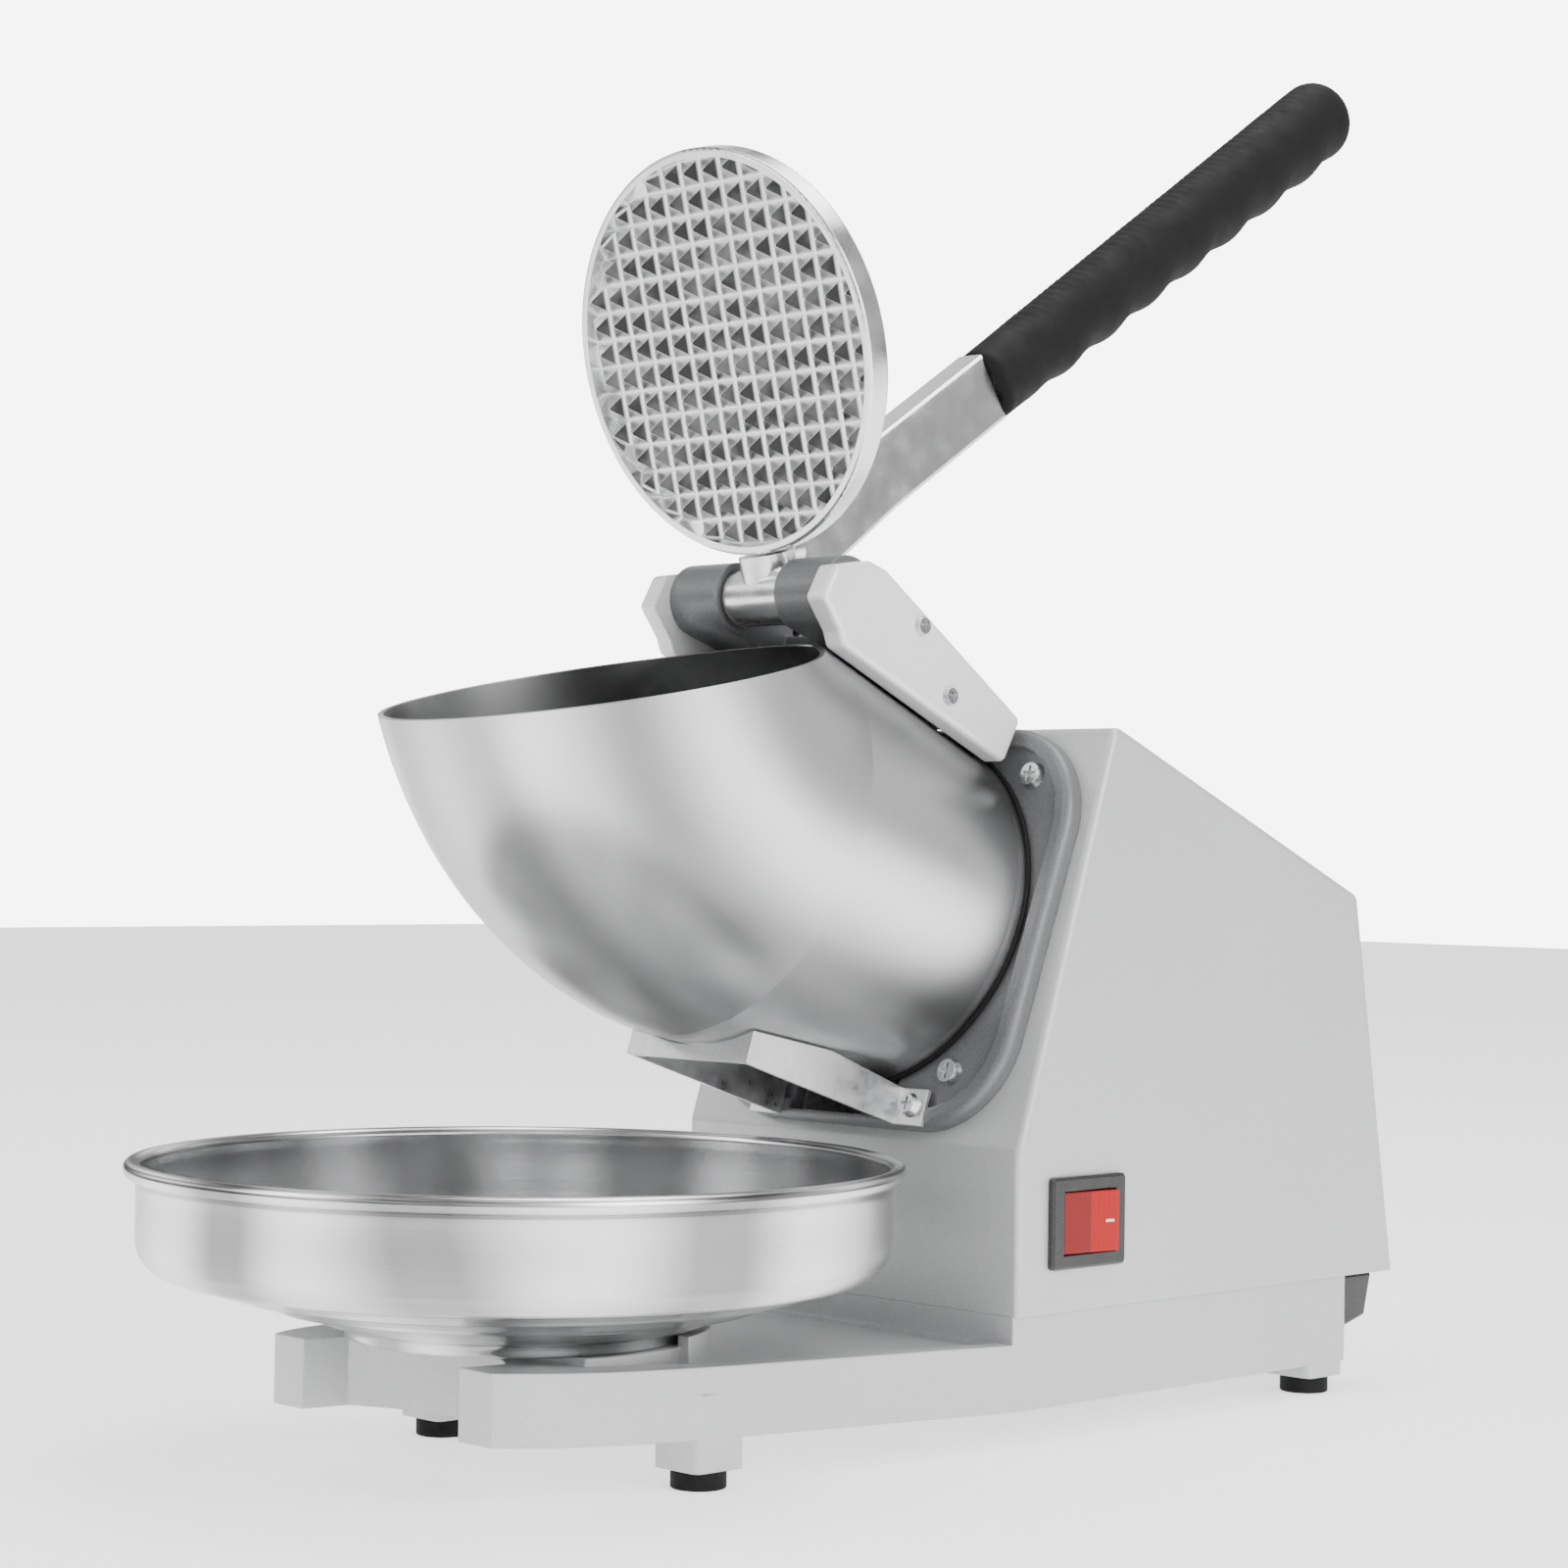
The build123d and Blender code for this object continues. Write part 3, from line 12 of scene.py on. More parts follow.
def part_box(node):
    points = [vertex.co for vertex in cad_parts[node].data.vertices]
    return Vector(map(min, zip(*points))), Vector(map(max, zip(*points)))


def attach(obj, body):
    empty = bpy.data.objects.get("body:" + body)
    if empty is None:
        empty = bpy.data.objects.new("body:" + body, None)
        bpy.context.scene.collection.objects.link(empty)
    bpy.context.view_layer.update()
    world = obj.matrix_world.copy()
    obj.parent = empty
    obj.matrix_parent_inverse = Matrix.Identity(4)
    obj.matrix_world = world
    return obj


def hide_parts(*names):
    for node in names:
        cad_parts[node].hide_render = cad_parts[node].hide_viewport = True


bl_info = {
    "name": "Shaved Ice Machine",
    "version": (1, 0, 0),
    "blender": (4, 5, 0),
    "location": "View3D > Sidebar > Ice Machine",
    "description": "Finishes, grip, bowl, gaskets, louvres and studio for a shaved ice machine",
    "category": "Object",
}

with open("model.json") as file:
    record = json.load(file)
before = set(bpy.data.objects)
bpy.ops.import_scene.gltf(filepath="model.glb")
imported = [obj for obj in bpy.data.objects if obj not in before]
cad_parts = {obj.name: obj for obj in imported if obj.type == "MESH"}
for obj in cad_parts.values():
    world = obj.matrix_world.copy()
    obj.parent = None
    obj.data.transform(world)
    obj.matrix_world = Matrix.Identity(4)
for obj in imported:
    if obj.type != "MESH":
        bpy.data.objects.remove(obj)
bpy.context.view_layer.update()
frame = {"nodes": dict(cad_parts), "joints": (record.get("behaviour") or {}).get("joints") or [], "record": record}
nodes = frame["nodes"]
joints = {joint["name"]: joint for joint in frame["joints"]}

# the leaning face's own directions, and the hinge over the chute
ACROSS = Vector((1, 0, 0))
PIVOT = Vector(joints["pusher_hinge"]["pos_m"])
CHUTE_FOOT = Vector(joints["cutter_spin"]["pos_m"])
FACE_OUT = Vector(joints["cutter_spin"]["axis"]).normalized()
FACE_UP = FACE_OUT.cross(ACROSS)
ROCKER_AT = Vector(joints["switch_rock"]["pos_m"])


# ---- sizes and colours a user may change -----------------------------------------------------
def length(name, text, default):
    """Length property in metres."""
    return FloatProperty(name=name, description=text, default=default, min=0.0, unit="LENGTH", precision=4)


def watts(name, text, default):
    """Light power property."""
    return FloatProperty(name=name, description=text, default=default, unit="POWER")


def degrees_of(name, text, default):
    """Angle property, given here in degrees."""
    return FloatProperty(name=name, description=text, default=radians(default), subtype="ANGLE")


def colour(name, text, default):
    """Colour property."""
    return FloatVectorProperty(
        name=name, description=text, default=default, size=3, subtype="COLOR", min=0.0, max=1.0
    )


class ShaverSizes(PropertyGroup):
    """Sizes of the pieces made here."""

    grip_length: length("Grip length", "Length of the rubber grip along the arm's tang", 0.1812)
    grip_start_radius: length("Grip start radius", "Grip radius where it meets the arm", 0.0097)
    grip_end_radius: length("Grip end radius", "Grip radius near its tip", 0.0114)
    grip_wave_depth: length("Finger wave depth", "How deep the finger hollows are", 0.0013)
    grip_waves: IntProperty(name="Finger waves", description="Hollows on the underside", default=8, min=2)
    nub_radius: length("Nub radius", "Radius of the moulding nub at the grip's tip", 0.0026)
    bowl_wall: length("Bowl wall", "Thickness of the bowl's sheet", 0.0010)
    bowl_roll: length("Bowl roll", "Radius of the rolled rim", 0.0020)
    bowl_corner: length("Bowl corner", "Radius between the wall and the underside", 0.0085)
    bowl_foot_radius: length("Bowl foot radius", "Radius of the ring the bowl stands on", 0.0400)
    bowl_foot_height: length("Bowl foot height", "Height of that ring", 0.0030)
    gasket_bead: length("Gasket bead", "Radius of the rubber bead at the chute's foot", 0.0007)
    louvre_length: length("Louvre length", "Length of each pressed louvre lip", 0.0730)
    louvre_rise: length("Louvre rise", "How far a louvre lip stands off the sheet", 0.0024)


class ShaverColours(PropertyGroup):
    """Base colours of the finishes."""

    paint: colour("Case paint", "Silver paint of the case and base", (0.50, 0.505, 0.51))
    casting: colour("Dark casting", "Grey paint of the flange and bracket", (0.14, 0.143, 0.148))
    plates: colour("Side plates", "Pale silver of the hinge side plates", (0.80, 0.81, 0.82))
    steel: colour("Stainless steel", "Chute, bowl and guard", (0.80, 0.805, 0.81))
    alloy: colour("Polished alloy", "Pusher disc and arm", (0.84, 0.845, 0.85))
    rubber: colour("Rubber", "Grip, feet and gaskets", (0.0045, 0.0045, 0.005))
    rocker: colour("Rocker lens", "Translucent red of the switch", (0.42, 0.0, 0.001))
    enamel: colour("Winding enamel", "Enamelled wire of the motor", (0.52, 0.18, 0.06))


class StudioSettings(PropertyGroup):
    """Camera and lights."""

    lens: FloatProperty(name="Lens", description="Focal length", default=79.0, unit="CAMERA")
    camera_at: FloatVectorProperty(
        name="Camera place",
        description="Camera position",
        default=(0.6095, -0.6265, 0.1445),
        size=3,
        subtype="XYZ",
    )
    turn: degrees_of("Turn", "Turn about the upright axis", 45.4)
    tip: degrees_of("Tip", "Tip above level", 1.01)
    roll: degrees_of("Roll", "Roll about the view", 0.82)
    floor_colour: colour("Floor", "Pale floor", (0.93, 0.93, 0.93))
    key_power: watts("Key power", "Power of the main softbox", 9.0)
    fill_power: watts("Fill power", "Power of the fill softbox", 17.0)
    top_power: watts("Top power", "Power of the overhead softbox", 16.0)


# ---- finishes --------------------------------------------------------------------------------
class Finish:
    """Procedural material in the piece's own coordinates, metres."""

    def __init__(self, name, base, metallic, roughness):
        self.material = bpy.data.materials.new(name)
        self.material.use_nodes = True
        self.tree = self.material.node_tree
        self.tree.nodes.clear()
        self.shader = self.node("ShaderNodeBsdfPrincipled", Metallic=metallic, Roughness=roughness)
        self.base = (*base, 1.0)
        self.shader.inputs["Base Color"].default_value = self.base
        output = self.node("ShaderNodeOutputMaterial")
        self.tree.links.new(self.shader.outputs["BSDF"], output.inputs["Surface"])
        self.place = self.node("ShaderNodeTexCoord").outputs["Object"]
        self.normal = None

    def node(self, kind, **values):
        """New node; each value sets an input socket of that name, or else a setting."""
        made = self.tree.nodes.new(kind)
        for key, value in values.items():
            if key in made.inputs:
                made.inputs[key].default_value = value
            else:
                setattr(made, key, value)
        return made

    def join(self, source, node, socket):
        self.tree.links.new(source, node.inputs[socket])

    def mapped(self, stretch):
        """Coordinates stretched along each axis."""
        mapping = self.node("ShaderNodeMapping", Scale=stretch)
        self.join(self.place, mapping, "Vector")
        return mapping.outputs["Vector"]

    def noise(self, scale, detail=3.0, stretch=(1, 1, 1), place=None):
        """Noise from 0 to 1; scale is in features per metre."""
        noise = self.node("ShaderNodeTexNoise", Scale=scale, Detail=detail)
        self.join(place or self.mapped(stretch), noise, "Vector")
        return noise.outputs["Fac"]

    def cells(self, scale, feature="F1"):
        """Voronoi distance; scale is in cells per metre."""
        cells = self.node("ShaderNodeTexVoronoi", feature=feature, Scale=scale)
        self.join(self.place, cells, "Vector")
        return cells.outputs["Distance"]

    def between(self, value, low, high, start=0.0, end=1.0):
        """Value mapped from low..high onto start..end and held there."""
        mapped = self.node("ShaderNodeMapRange")
        self.join(value, mapped, "Value")
        for socket, number in zip(("From Min", "From Max", "To Min", "To Max"), (low, high, start, end)):
            mapped.inputs[socket].default_value = number
        return mapped.outputs["Result"]

    def shade(self, value, stops):
        """Smooth curve through (place, height) stops, both from 0 to 1."""
        ramp = self.node("ShaderNodeValToRGB")
        elements = ramp.color_ramp.elements
        while len(elements) < len(stops):
            elements.new(0.5)
        for element, (at, height) in zip(elements, stops):
            element.position = at
            element.color = (height, height, height, 1.0)
        ramp.color_ramp.interpolation = "EASE"
        self.join(value, ramp, "Fac")
        return ramp.outputs["Color"]

    def maths(self, operation, first, second):
        """Result of one maths step; each side is a socket or a number."""
        step = self.node("ShaderNodeMath", operation=operation)
        for index, side in enumerate((first, second)):
            if isinstance(side, (int, float)):
                step.inputs[index].default_value = side
            else:
                self.tree.links.new(side, step.inputs[index])
        return step.outputs["Value"]

    def hypotenuse(self, one, two):
        """Root of the sum of two squares."""
        squares = self.maths("MULTIPLY", one, one), self.maths("MULTIPLY", two, two)
        return self.maths("SQRT", self.maths("ADD", *squares), 0)

    def along(self, direction, origin=(0, 0, 0)):
        """Distance from origin along a direction, in metres."""
        shift = self.node("ShaderNodeVectorMath", operation="SUBTRACT")
        self.join(self.place, shift, 0)
        shift.inputs[1].default_value = origin
        dot = self.node("ShaderNodeVectorMath", operation="DOT_PRODUCT")
        self.tree.links.new(shift.outputs["Vector"], dot.inputs[0])
        dot.inputs[1].default_value = direction
        return dot.outputs["Value"]

    def from_axis(self, origin, direction):
        """Distance from an axis, in metres."""
        side = Vector(direction).orthogonal().normalized()
        other = Vector(direction).normalized().cross(side)
        return self.hypotenuse(self.along(side, origin), self.along(other, origin))

    def tint(self, factor, other, mode="MIX"):
        """Base colour mixed towards another by a factor."""
        mix = self.node("ShaderNodeMix", data_type="RGBA", blend_type=mode)
        self.tree.links.new(factor, mix.inputs[0])
        colour_in = self.shader.inputs["Base Color"]
        if colour_in.links:
            self.tree.links.new(colour_in.links[0].from_socket, mix.inputs[6])
        else:
            mix.inputs[6].default_value = self.base
        mix.inputs[7].default_value = (*other, 1.0)
        self.tree.links.new(mix.outputs[2], colour_in)

    def rough(self, value, low, high):
        """Roughness that runs from low to high with a 0..1 value."""
        self.join(self.between(value, 0.25, 0.75, low, high), self.shader, "Roughness")

    def soften(self, radius):
        """Rounded look on sharp edges."""
        bevel = self.node("ShaderNodeBevel", samples=4, Radius=radius)
        self.normal = bevel.outputs["Normal"]
        self.join(self.normal, self.shader, "Normal")

    def bump(self, height, distance, strength=1.0):
        """Relief on top of what is there already; distance is in metres."""
        bump = self.node("ShaderNodeBump", Strength=strength, Distance=distance)
        self.join(height, bump, "Height")
        if self.normal:
            self.join(self.normal, bump, "Normal")
        self.normal = bump.outputs["Normal"]
        self.join(self.normal, self.shader, "Normal")

    def edge(self, radius):
        """1 on sharp edges, 0 on flats."""
        bevel = self.node("ShaderNodeBevel", samples=4, Radius=radius)
        flat = self.node("ShaderNodeNewGeometry")
        dot = self.node("ShaderNodeVectorMath", operation="DOT_PRODUCT")
        self.tree.links.new(bevel.outputs["Normal"], dot.inputs[0])
        self.tree.links.new(flat.outputs["Normal"], dot.inputs[1])
        return self.between(dot.outputs["Value"], 0.99, 0.86)

    def worn_edge(self, radius, other, amount=0.6):
        """Edges rubbed towards another colour, broken up by noise."""
        broken = self.between(self.noise(260, 4), 0.42, 0.62, 0.0, amount)
        self.tint(self.maths("MULTIPLY", self.edge(radius), broken), other)


def silver_paint(name, base, seed_scale=1.0):
    """Satin metallic paint: fine flake, faint orange peel, handling marks, rubbed edges."""
    paint = Finish(name, base, 0.38, 0.42)
    paint.shader.inputs["Coat Weight"].default_value = 0.12
    paint.shader.inputs["Coat Roughness"].default_value = 0.28
    paint.soften(0.0007)
    flake = paint.between(paint.noise(5200 * seed_scale, 1.0), 0.38, 0.66)
    paint.tint(flake, [min(1.0, c * 1.28) for c in base])
    dark = paint.between(paint.cells(2600 * seed_scale), 0.0, 0.16, 0.22, 0.0)
    paint.tint(dark, [c * 0.45 for c in base])
    cloud = paint.between(paint.noise(9, 3), 0.35, 0.7, 0.0, 0.12)
    paint.tint(cloud, [c * 0.80 for c in base])
    paint.worn_edge(0.0008, (0.74, 0.75, 0.76), 0.5)
    paint.rough(paint.noise(28, 5), 0.36, 0.50)
    paint.bump(paint.noise(1500, 2), 0.00004, 0.5)
    paint.bump(paint.noise(240, 2), 0.00008, 0.35)
    return paint.material


def dark_cast_paint(name, base):
    """Dark grey paint over a sand casting."""
    cast = Finish(name, base, 0.32, 0.40)
    cast.shader.inputs["Coat Weight"].default_value = 0.2
    cast.shader.inputs["Coat Roughness"].default_value = 0.22
    cast.soften(0.0009)
    cast.tint(cast.between(cast.noise(2600, 2), 0.4, 0.7, 0.0, 0.5), [c * 1.7 for c in base])
    cast.worn_edge(0.0009, (0.46, 0.47, 0.48), 0.7)
    cast.rough(cast.noise(60, 4), 0.34, 0.52)
    cast.bump(cast.noise(900, 4), 0.00012, 0.6)
    return cast.material


def chute_painted_reflection_bands(steel):
    """0..1 painted reflection bands that run along the chute and round its bend, by the angle round the tube."""
    swing = (PIVOT - CHUTE_FOOT).dot(FACE_UP)
    start = (PIVOT - CHUTE_FOOT).dot(FACE_OUT)
    to_hinge = steel.maths("SUBTRACT", swing, steel.along(FACE_UP, CHUTE_FOOT))
    past_start = steel.maths("SUBTRACT", steel.along(FACE_OUT, CHUTE_FOOT), start)
    past_start = steel.maths("MAXIMUM", past_start, 0.0)
    rise = steel.maths("SUBTRACT", swing, steel.hypotenuse(to_hinge, past_start))
    sideways = steel.maths("ABSOLUTE", steel.along(ACROSS), 0.0)
    turn = steel.maths("ARCTAN2", rise, sideways)
    wander = steel.between(steel.noise(9, 2), 0.3, 0.7, -0.06, 0.06)
    part = steel.between(steel.maths("ADD", turn, wander), -pi / 2, pi / 2)
    lower_half = [(0.0, 0.30), (0.10, 0.55), (0.17, 0.0), (0.30, 0.80), (0.44, 0.0)]
    upper_half = [(0.52, 0.05), (0.71, 0.92), (0.82, 0.55), (1.0, 0.75)]
    return steel.shade(part, lower_half + upper_half)


def polished_chute(name, base):
    """Bright stainless tube with painted reflection bands along its length, a fine grain and dull patches."""
    steel = Finish(name, base, 1.0, 0.34)
    steel.soften(0.0004)
    grain = steel.noise(900, 3, stretch=(1.0, 0.045, 0.10))
    steel.tint(steel.between(grain, 0.40, 0.65, 0.0, 0.12), [c * 0.86 for c in base])
    # painted reflection: dark bands along the tube, set by the angle round it
    steel.tint(chute_painted_reflection_bands(steel), [c * 0.16 for c in base])
    steel.tint(steel.between(steel.noise(14, 3), 0.45, 0.75, 0.0, 0.15), [c * 0.86 for c in base])
    mixed = steel.maths("MULTIPLY", steel.maths("ADD", grain, steel.noise(30, 4)), 0.5)
    steel.rough(mixed, 0.31, 0.38)
    steel.bump(grain, 0.00001, 0.12)
    return steel.material


def spun_bowl(name, base):
    """Spun stainless: upright soft painted reflection bands, rings about the bowl's axis, a little darker inside.
    """
    low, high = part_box("bowl")
    centre = ((low.x + high.x) / 2, (low.y + high.y) / 2, low.z)
    steel = Finish(name, base, 1.0, 0.22)
    radius = steel.from_axis(centre, (0, 0, 1))
    height = steel.along((0, 0, 1), centre)
    rings = steel.node("ShaderNodeCombineXYZ")
    steel.join(radius, rings, "X")
    steel.join(height, rings, "Y")
    lathe_lines = steel.noise(2600, 3, place=rings.outputs["Vector"])
    steel.tint(steel.between(lathe_lines, 0.38, 0.66, 0.0, 0.30), [c * 0.78 for c in base])
    # painted reflection: soft upright dark bands by the angle round the bowl
    turn = steel.maths("ARCTAN2", steel.along((0, 1, 0), centre), steel.along(ACROSS, centre))
    wander = steel.maths("MULTIPLY", steel.noise(7, 2), 0.9)
    reflection_bands_round = 9.0
    wave = steel.maths("COSINE", steel.maths("MULTIPLY", steel.maths("ADD", turn, wander), reflection_bands_round), 0.0)
    steel.tint(steel.between(wave, 0.9, -0.8, 0.0, 0.85), [c * 0.22 for c in base])
    # a little darker inside the wall
    inside = steel.between(radius, high.x - 0.0036, high.x - 0.0042)
    steel.tint(steel.maths("MULTIPLY", inside, 0.20), [c * 0.86 for c in base])
    steel.shader.inputs["Anisotropic"].default_value = 0.45
    tangent = steel.node("ShaderNodeTangent", direction_type="RADIAL", axis="Z")
    steel.join(tangent.outputs["Tangent"], steel.shader, "Tangent")
    steel.rough(steel.noise(40, 4), 0.17, 0.27)
    steel.bump(lathe_lines, 0.000025, 0.5)
    steel.bump(steel.cells(420, "DISTANCE_TO_EDGE"), 0.00001, 0.15)
    return steel.material


def polished_alloy(name, base):
    """Buffed cast alloy: bright rim and grooves, painted shade on the pyramids, darkest on the flank facing +X,
    faint pits.
    """
    low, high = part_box("pusher_disc")
    middle = (low + high) / 2
    disc_up = (middle - PIVOT).normalized()
    disc_out = ACROSS.cross(disc_up)
    alloy = Finish(name, base, 1.0, 0.20)
    alloy.soften(0.0004)
    rise = alloy.along(disc_out, middle)
    reach = alloy.from_axis(middle, disc_out)
    disc_r = (high.x - low.x) / 2
    inside_rim = alloy.between(reach, disc_r - 0.0022, disc_r - 0.0028)
    above_groove = alloy.between(rise, -0.0004, 0.0001)
    slope = alloy.node("ShaderNodeTexCoord").outputs["Normal"]
    lean = alloy.node("ShaderNodeVectorMath", operation="DOT_PRODUCT")
    alloy.tree.links.new(slope, lean.inputs[0])
    lean.inputs[1].default_value = ACROSS
    painted_shade_flank = alloy.between(lean.outputs["Value"], 0.15, 0.45, 0.32, 1.0)
    painted_shade_pyramids = alloy.maths("MULTIPLY", alloy.maths("MULTIPLY", above_groove, inside_rim), painted_shade_flank)
    # painted shade: pyramids darkened about a third, and fully on the flank facing +X
    alloy.tint(painted_shade_pyramids, [c * 0.05 for c in base])
    alloy.tint(alloy.between(alloy.noise(90, 4), 0.45, 0.75, 0.0, 0.18), [c * 0.82 for c in base])
    grain = alloy.noise(120, 4)
    alloy.rough(alloy.maths("ADD", grain, alloy.maths("MULTIPLY", painted_shade_pyramids, 0.35)), 0.14, 0.34)
    alloy.bump(alloy.noise(1400, 3), 0.00004, 0.4)
    alloy.bump(alloy.noise(180, 2), 0.00010, 0.25)
    return alloy.material


def bright_steel(name, base, roughness=0.24, grain=(1, 1, 1)):
    """Plated or ground steel with fine marks and paler rubbed edges."""
    steel = Finish(name, base, 1.0, roughness)
    steel.soften(0.0003)
    lines = steel.noise(1800, 3, stretch=grain)
    steel.tint(steel.between(lines, 0.4, 0.68, 0.0, 0.28), [c * 0.72 for c in base])
    steel.worn_edge(0.0004, [min(1.0, c * 1.2) for c in base], 0.6)
    steel.rough(steel.noise(320, 4), roughness * 0.75, roughness * 1.5)
    steel.bump(lines, 0.00003, 0.4)
    return steel.material


def raw_casting(name, base):
    """Unpainted die casting with a grainy skin."""
    cast = Finish(name, base, 0.9, 0.48)
    cast.soften(0.0005)
    cast.tint(cast.between(cast.noise(700, 4), 0.4, 0.7, 0.0, 0.5), [c * 0.62 for c in base])
    cast.rough(cast.noise(220, 4), 0.40, 0.62)
    cast.bump(cast.noise(1200, 4), 0.00012, 0.6)
    return cast.material


def zinc_sheet(name, base):
    """Dull zinc with its crystal pattern."""
    zinc = Finish(name, base, 0.9, 0.42)
    zinc.soften(0.0003)
    zinc.tint(zinc.between(zinc.cells(210), 0.0, 0.9, 0.0, 0.5), [c * 0.74 for c in base])
    zinc.rough(zinc.noise(110, 3), 0.34, 0.55)
    zinc.bump(zinc.noise(900, 2), 0.00004, 0.4)
    return zinc.material


def moulded_rubber(name, base):
    """Matt black rubber with a fine pebble and slightly dusty high spots."""
    rubber = Finish(name, base, 0.0, 0.62)
    rubber.tint(rubber.between(rubber.noise(70, 5), 0.45, 0.75, 0.0, 0.25), [c * 2.0 + 0.002 for c in base])
    rubber.shader.inputs["Specular IOR Level"].default_value = 0.22
    rubber.rough(rubber.noise(160, 4), 0.62, 0.80)
    rubber.bump(rubber.noise(900, 2), 0.00004, 0.3)
    rubber.bump(rubber.noise(260, 3), 0.00008, 0.2)
    return rubber.material


def moulded_plastic(name, base, roughness=0.34, grain=0.00006):
    """Injection-moulded plastic with a spark-eroded grain."""
    plastic = Finish(name, base, 0.0, roughness)
    plastic.soften(0.0003)
    paler = [min(1.0, c * 1.5 + 0.01) for c in base]
    plastic.tint(plastic.between(plastic.noise(300, 3), 0.45, 0.75, 0.0, 0.3), paler)
    plastic.rough(plastic.noise(90, 4), roughness * 0.8, roughness * 1.35)
    plastic.bump(plastic.noise(2400, 2), grain, 0.6)
    return plastic.material


def rocker_lens(name, base):
    """Clear red plastic over a ribbed inside, with painted shade on its front half and a faint painted glow."""
    lens = Finish(name, base, 0.0, 0.14)
    ribs = lens.node("ShaderNodeTexWave", bands_direction="Y", Scale=190.0)
    lens.join(lens.place, ribs, "Vector")
    lens.tint(lens.between(ribs.outputs["Fac"], 0.3, 0.8, 0.0, 0.16), [c * 0.40 for c in base])
    # painted shade: the front half of the rocker darkened, the rear half left as it is
    rear = lens.between(lens.along((0, 1, 0), ROCKER_AT), -0.0004, 0.0004)
    painted_shade_front = lens.maths("SUBTRACT", 1.0, rear)
    lens.tint(lens.maths("MULTIPLY", painted_shade_front, 0.62), [c * 0.22 for c in base])
    lens.soften(0.0005)
    lens.shader.inputs["Transmission Weight"].default_value = 0.08
    lens.shader.inputs["Specular IOR Level"].default_value = 0.22
    lens.shader.inputs["Coat Weight"].default_value = 0.05
    lens.shader.inputs["Coat Roughness"].default_value = 0.06
    # faint emission: a painted glow, the rocker holds no lamp
    lens.shader.inputs["Emission Color"].default_value = (0.85, 0.02, 0.01, 1.0)
    lens.shader.inputs["Emission Strength"].default_value = 0.02
    lens.rough(lens.noise(240, 3), 0.10, 0.20)
    lens.bump(lens.noise(700, 2), 0.00003, 0.3)
    return lens.material


def steel_laminations(name, base):
    """Stacked and varnished core plates, seen as fine lines along the motor's axis."""
    core = Finish(name, base, 0.6, 0.5)
    stack = core.node("ShaderNodeTexWave", bands_direction="X", Scale=420.0)
    line = core.node("ShaderNodeCombineXYZ")
    core.join(core.along(FACE_OUT, CHUTE_FOOT), line, "X")
    core.join(line.outputs["Vector"], stack, "Vector")
    core.tint(core.between(stack.outputs["Fac"], 0.3, 0.7, 0.0, 0.6), [c * 0.5 for c in base])
    core.rough(core.noise(90, 3), 0.42, 0.62)
    core.bump(stack.outputs["Fac"], 0.0001, 0.6)
    return core.material


def wound_wire(name, base):
    """Enamelled wire laid in rings about the motor's axis."""
    wire = Finish(name, base, 0.45, 0.32)
    rings = wire.node("ShaderNodeTexWave", bands_direction="X", Scale=330.0, Distortion=1.2)
    line = wire.node("ShaderNodeCombineXYZ")
    wire.join(wire.from_axis(CHUTE_FOOT, FACE_OUT), line, "X")
    wire.join(wire.along(FACE_OUT, CHUTE_FOOT), line, "Y")
    wire.join(line.outputs["Vector"], rings, "Vector")
    wire.tint(wire.between(rings.outputs["Fac"], 0.2, 0.8, 0.0, 0.6), [c * 0.4 for c in base])
    wire.rough(wire.noise(200, 3), 0.26, 0.44)
    wire.bump(rings.outputs["Fac"], 0.0003, 0.9)
    return wire.material


def finishes(colours):
    """Material for each of the record's slots."""
    return {
        "cover_paint": silver_paint("case_paint", colours.paint),
        "cast_base": silver_paint("base_paint", [c * 0.97 for c in colours.paint], 0.85),
        "dark_casting": dark_cast_paint("flange_paint", colours.casting),
        "side_plates": silver_paint("side_plate_paint", colours.plates, 1.3),
        "motor_paint": dark_cast_paint("motor_paint", (0.07, 0.07, 0.075)),
        "chute_steel": polished_chute("chute_stainless", colours.steel),
        "bowl_steel": spun_bowl("bowl_stainless", colours.steel),
        "guard_steel": bright_steel("guard_stainless", colours.steel, 0.30, (1.0, 0.05, 0.05)),
        "pusher_alloy": polished_alloy("pusher_buffed_alloy", colours.alloy),
        "fasteners": bright_steel("bright_plating", (0.66, 0.67, 0.68), 0.20),
        "shaft_steel": bright_steel("ground_shaft", (0.60, 0.61, 0.62), 0.22),
        "blade_steel": bright_steel("ground_blade", (0.70, 0.71, 0.73), 0.18, (0.06, 1.0, 1.0)),
        "bearing_steel": bright_steel("bearing_race", (0.62, 0.63, 0.64), 0.16),
        "cutter_alloy": bright_steel("machined_cutter", (0.66, 0.67, 0.68), 0.28),
        "housing_alloy": raw_casting("housing_casting", (0.58, 0.585, 0.59)),
        "capacitor_can": raw_casting("drawn_can", (0.66, 0.67, 0.68)),
        "zinc_sheet": zinc_sheet("zinc_sheet", (0.54, 0.55, 0.56)),
        "laminations": steel_laminations("core_plates", (0.20, 0.205, 0.215)),
        "copper": wound_wire("enamelled_wire", colours.enamel),
        "grip_rubber": moulded_rubber("grip_rubber", colours.rubber),
        "foot_rubber": moulded_rubber("foot_rubber", colours.rubber),
        "black_plastic": moulded_plastic("black_moulding", (0.016, 0.016, 0.017), 0.26),
        "white_plastic": moulded_plastic("terminal_moulding", (0.72, 0.70, 0.64), 0.45),
        "red_plastic": rocker_lens("red_lens", colours.rocker),
    }


made_finishes = {}


def finish_of(slot):
    """Finish made for a slot; all are made on first use."""
    if not made_finishes:
        made_finishes.update(finishes(bpy.context.scene.shaver_colours))
    return made_finishes[slot]


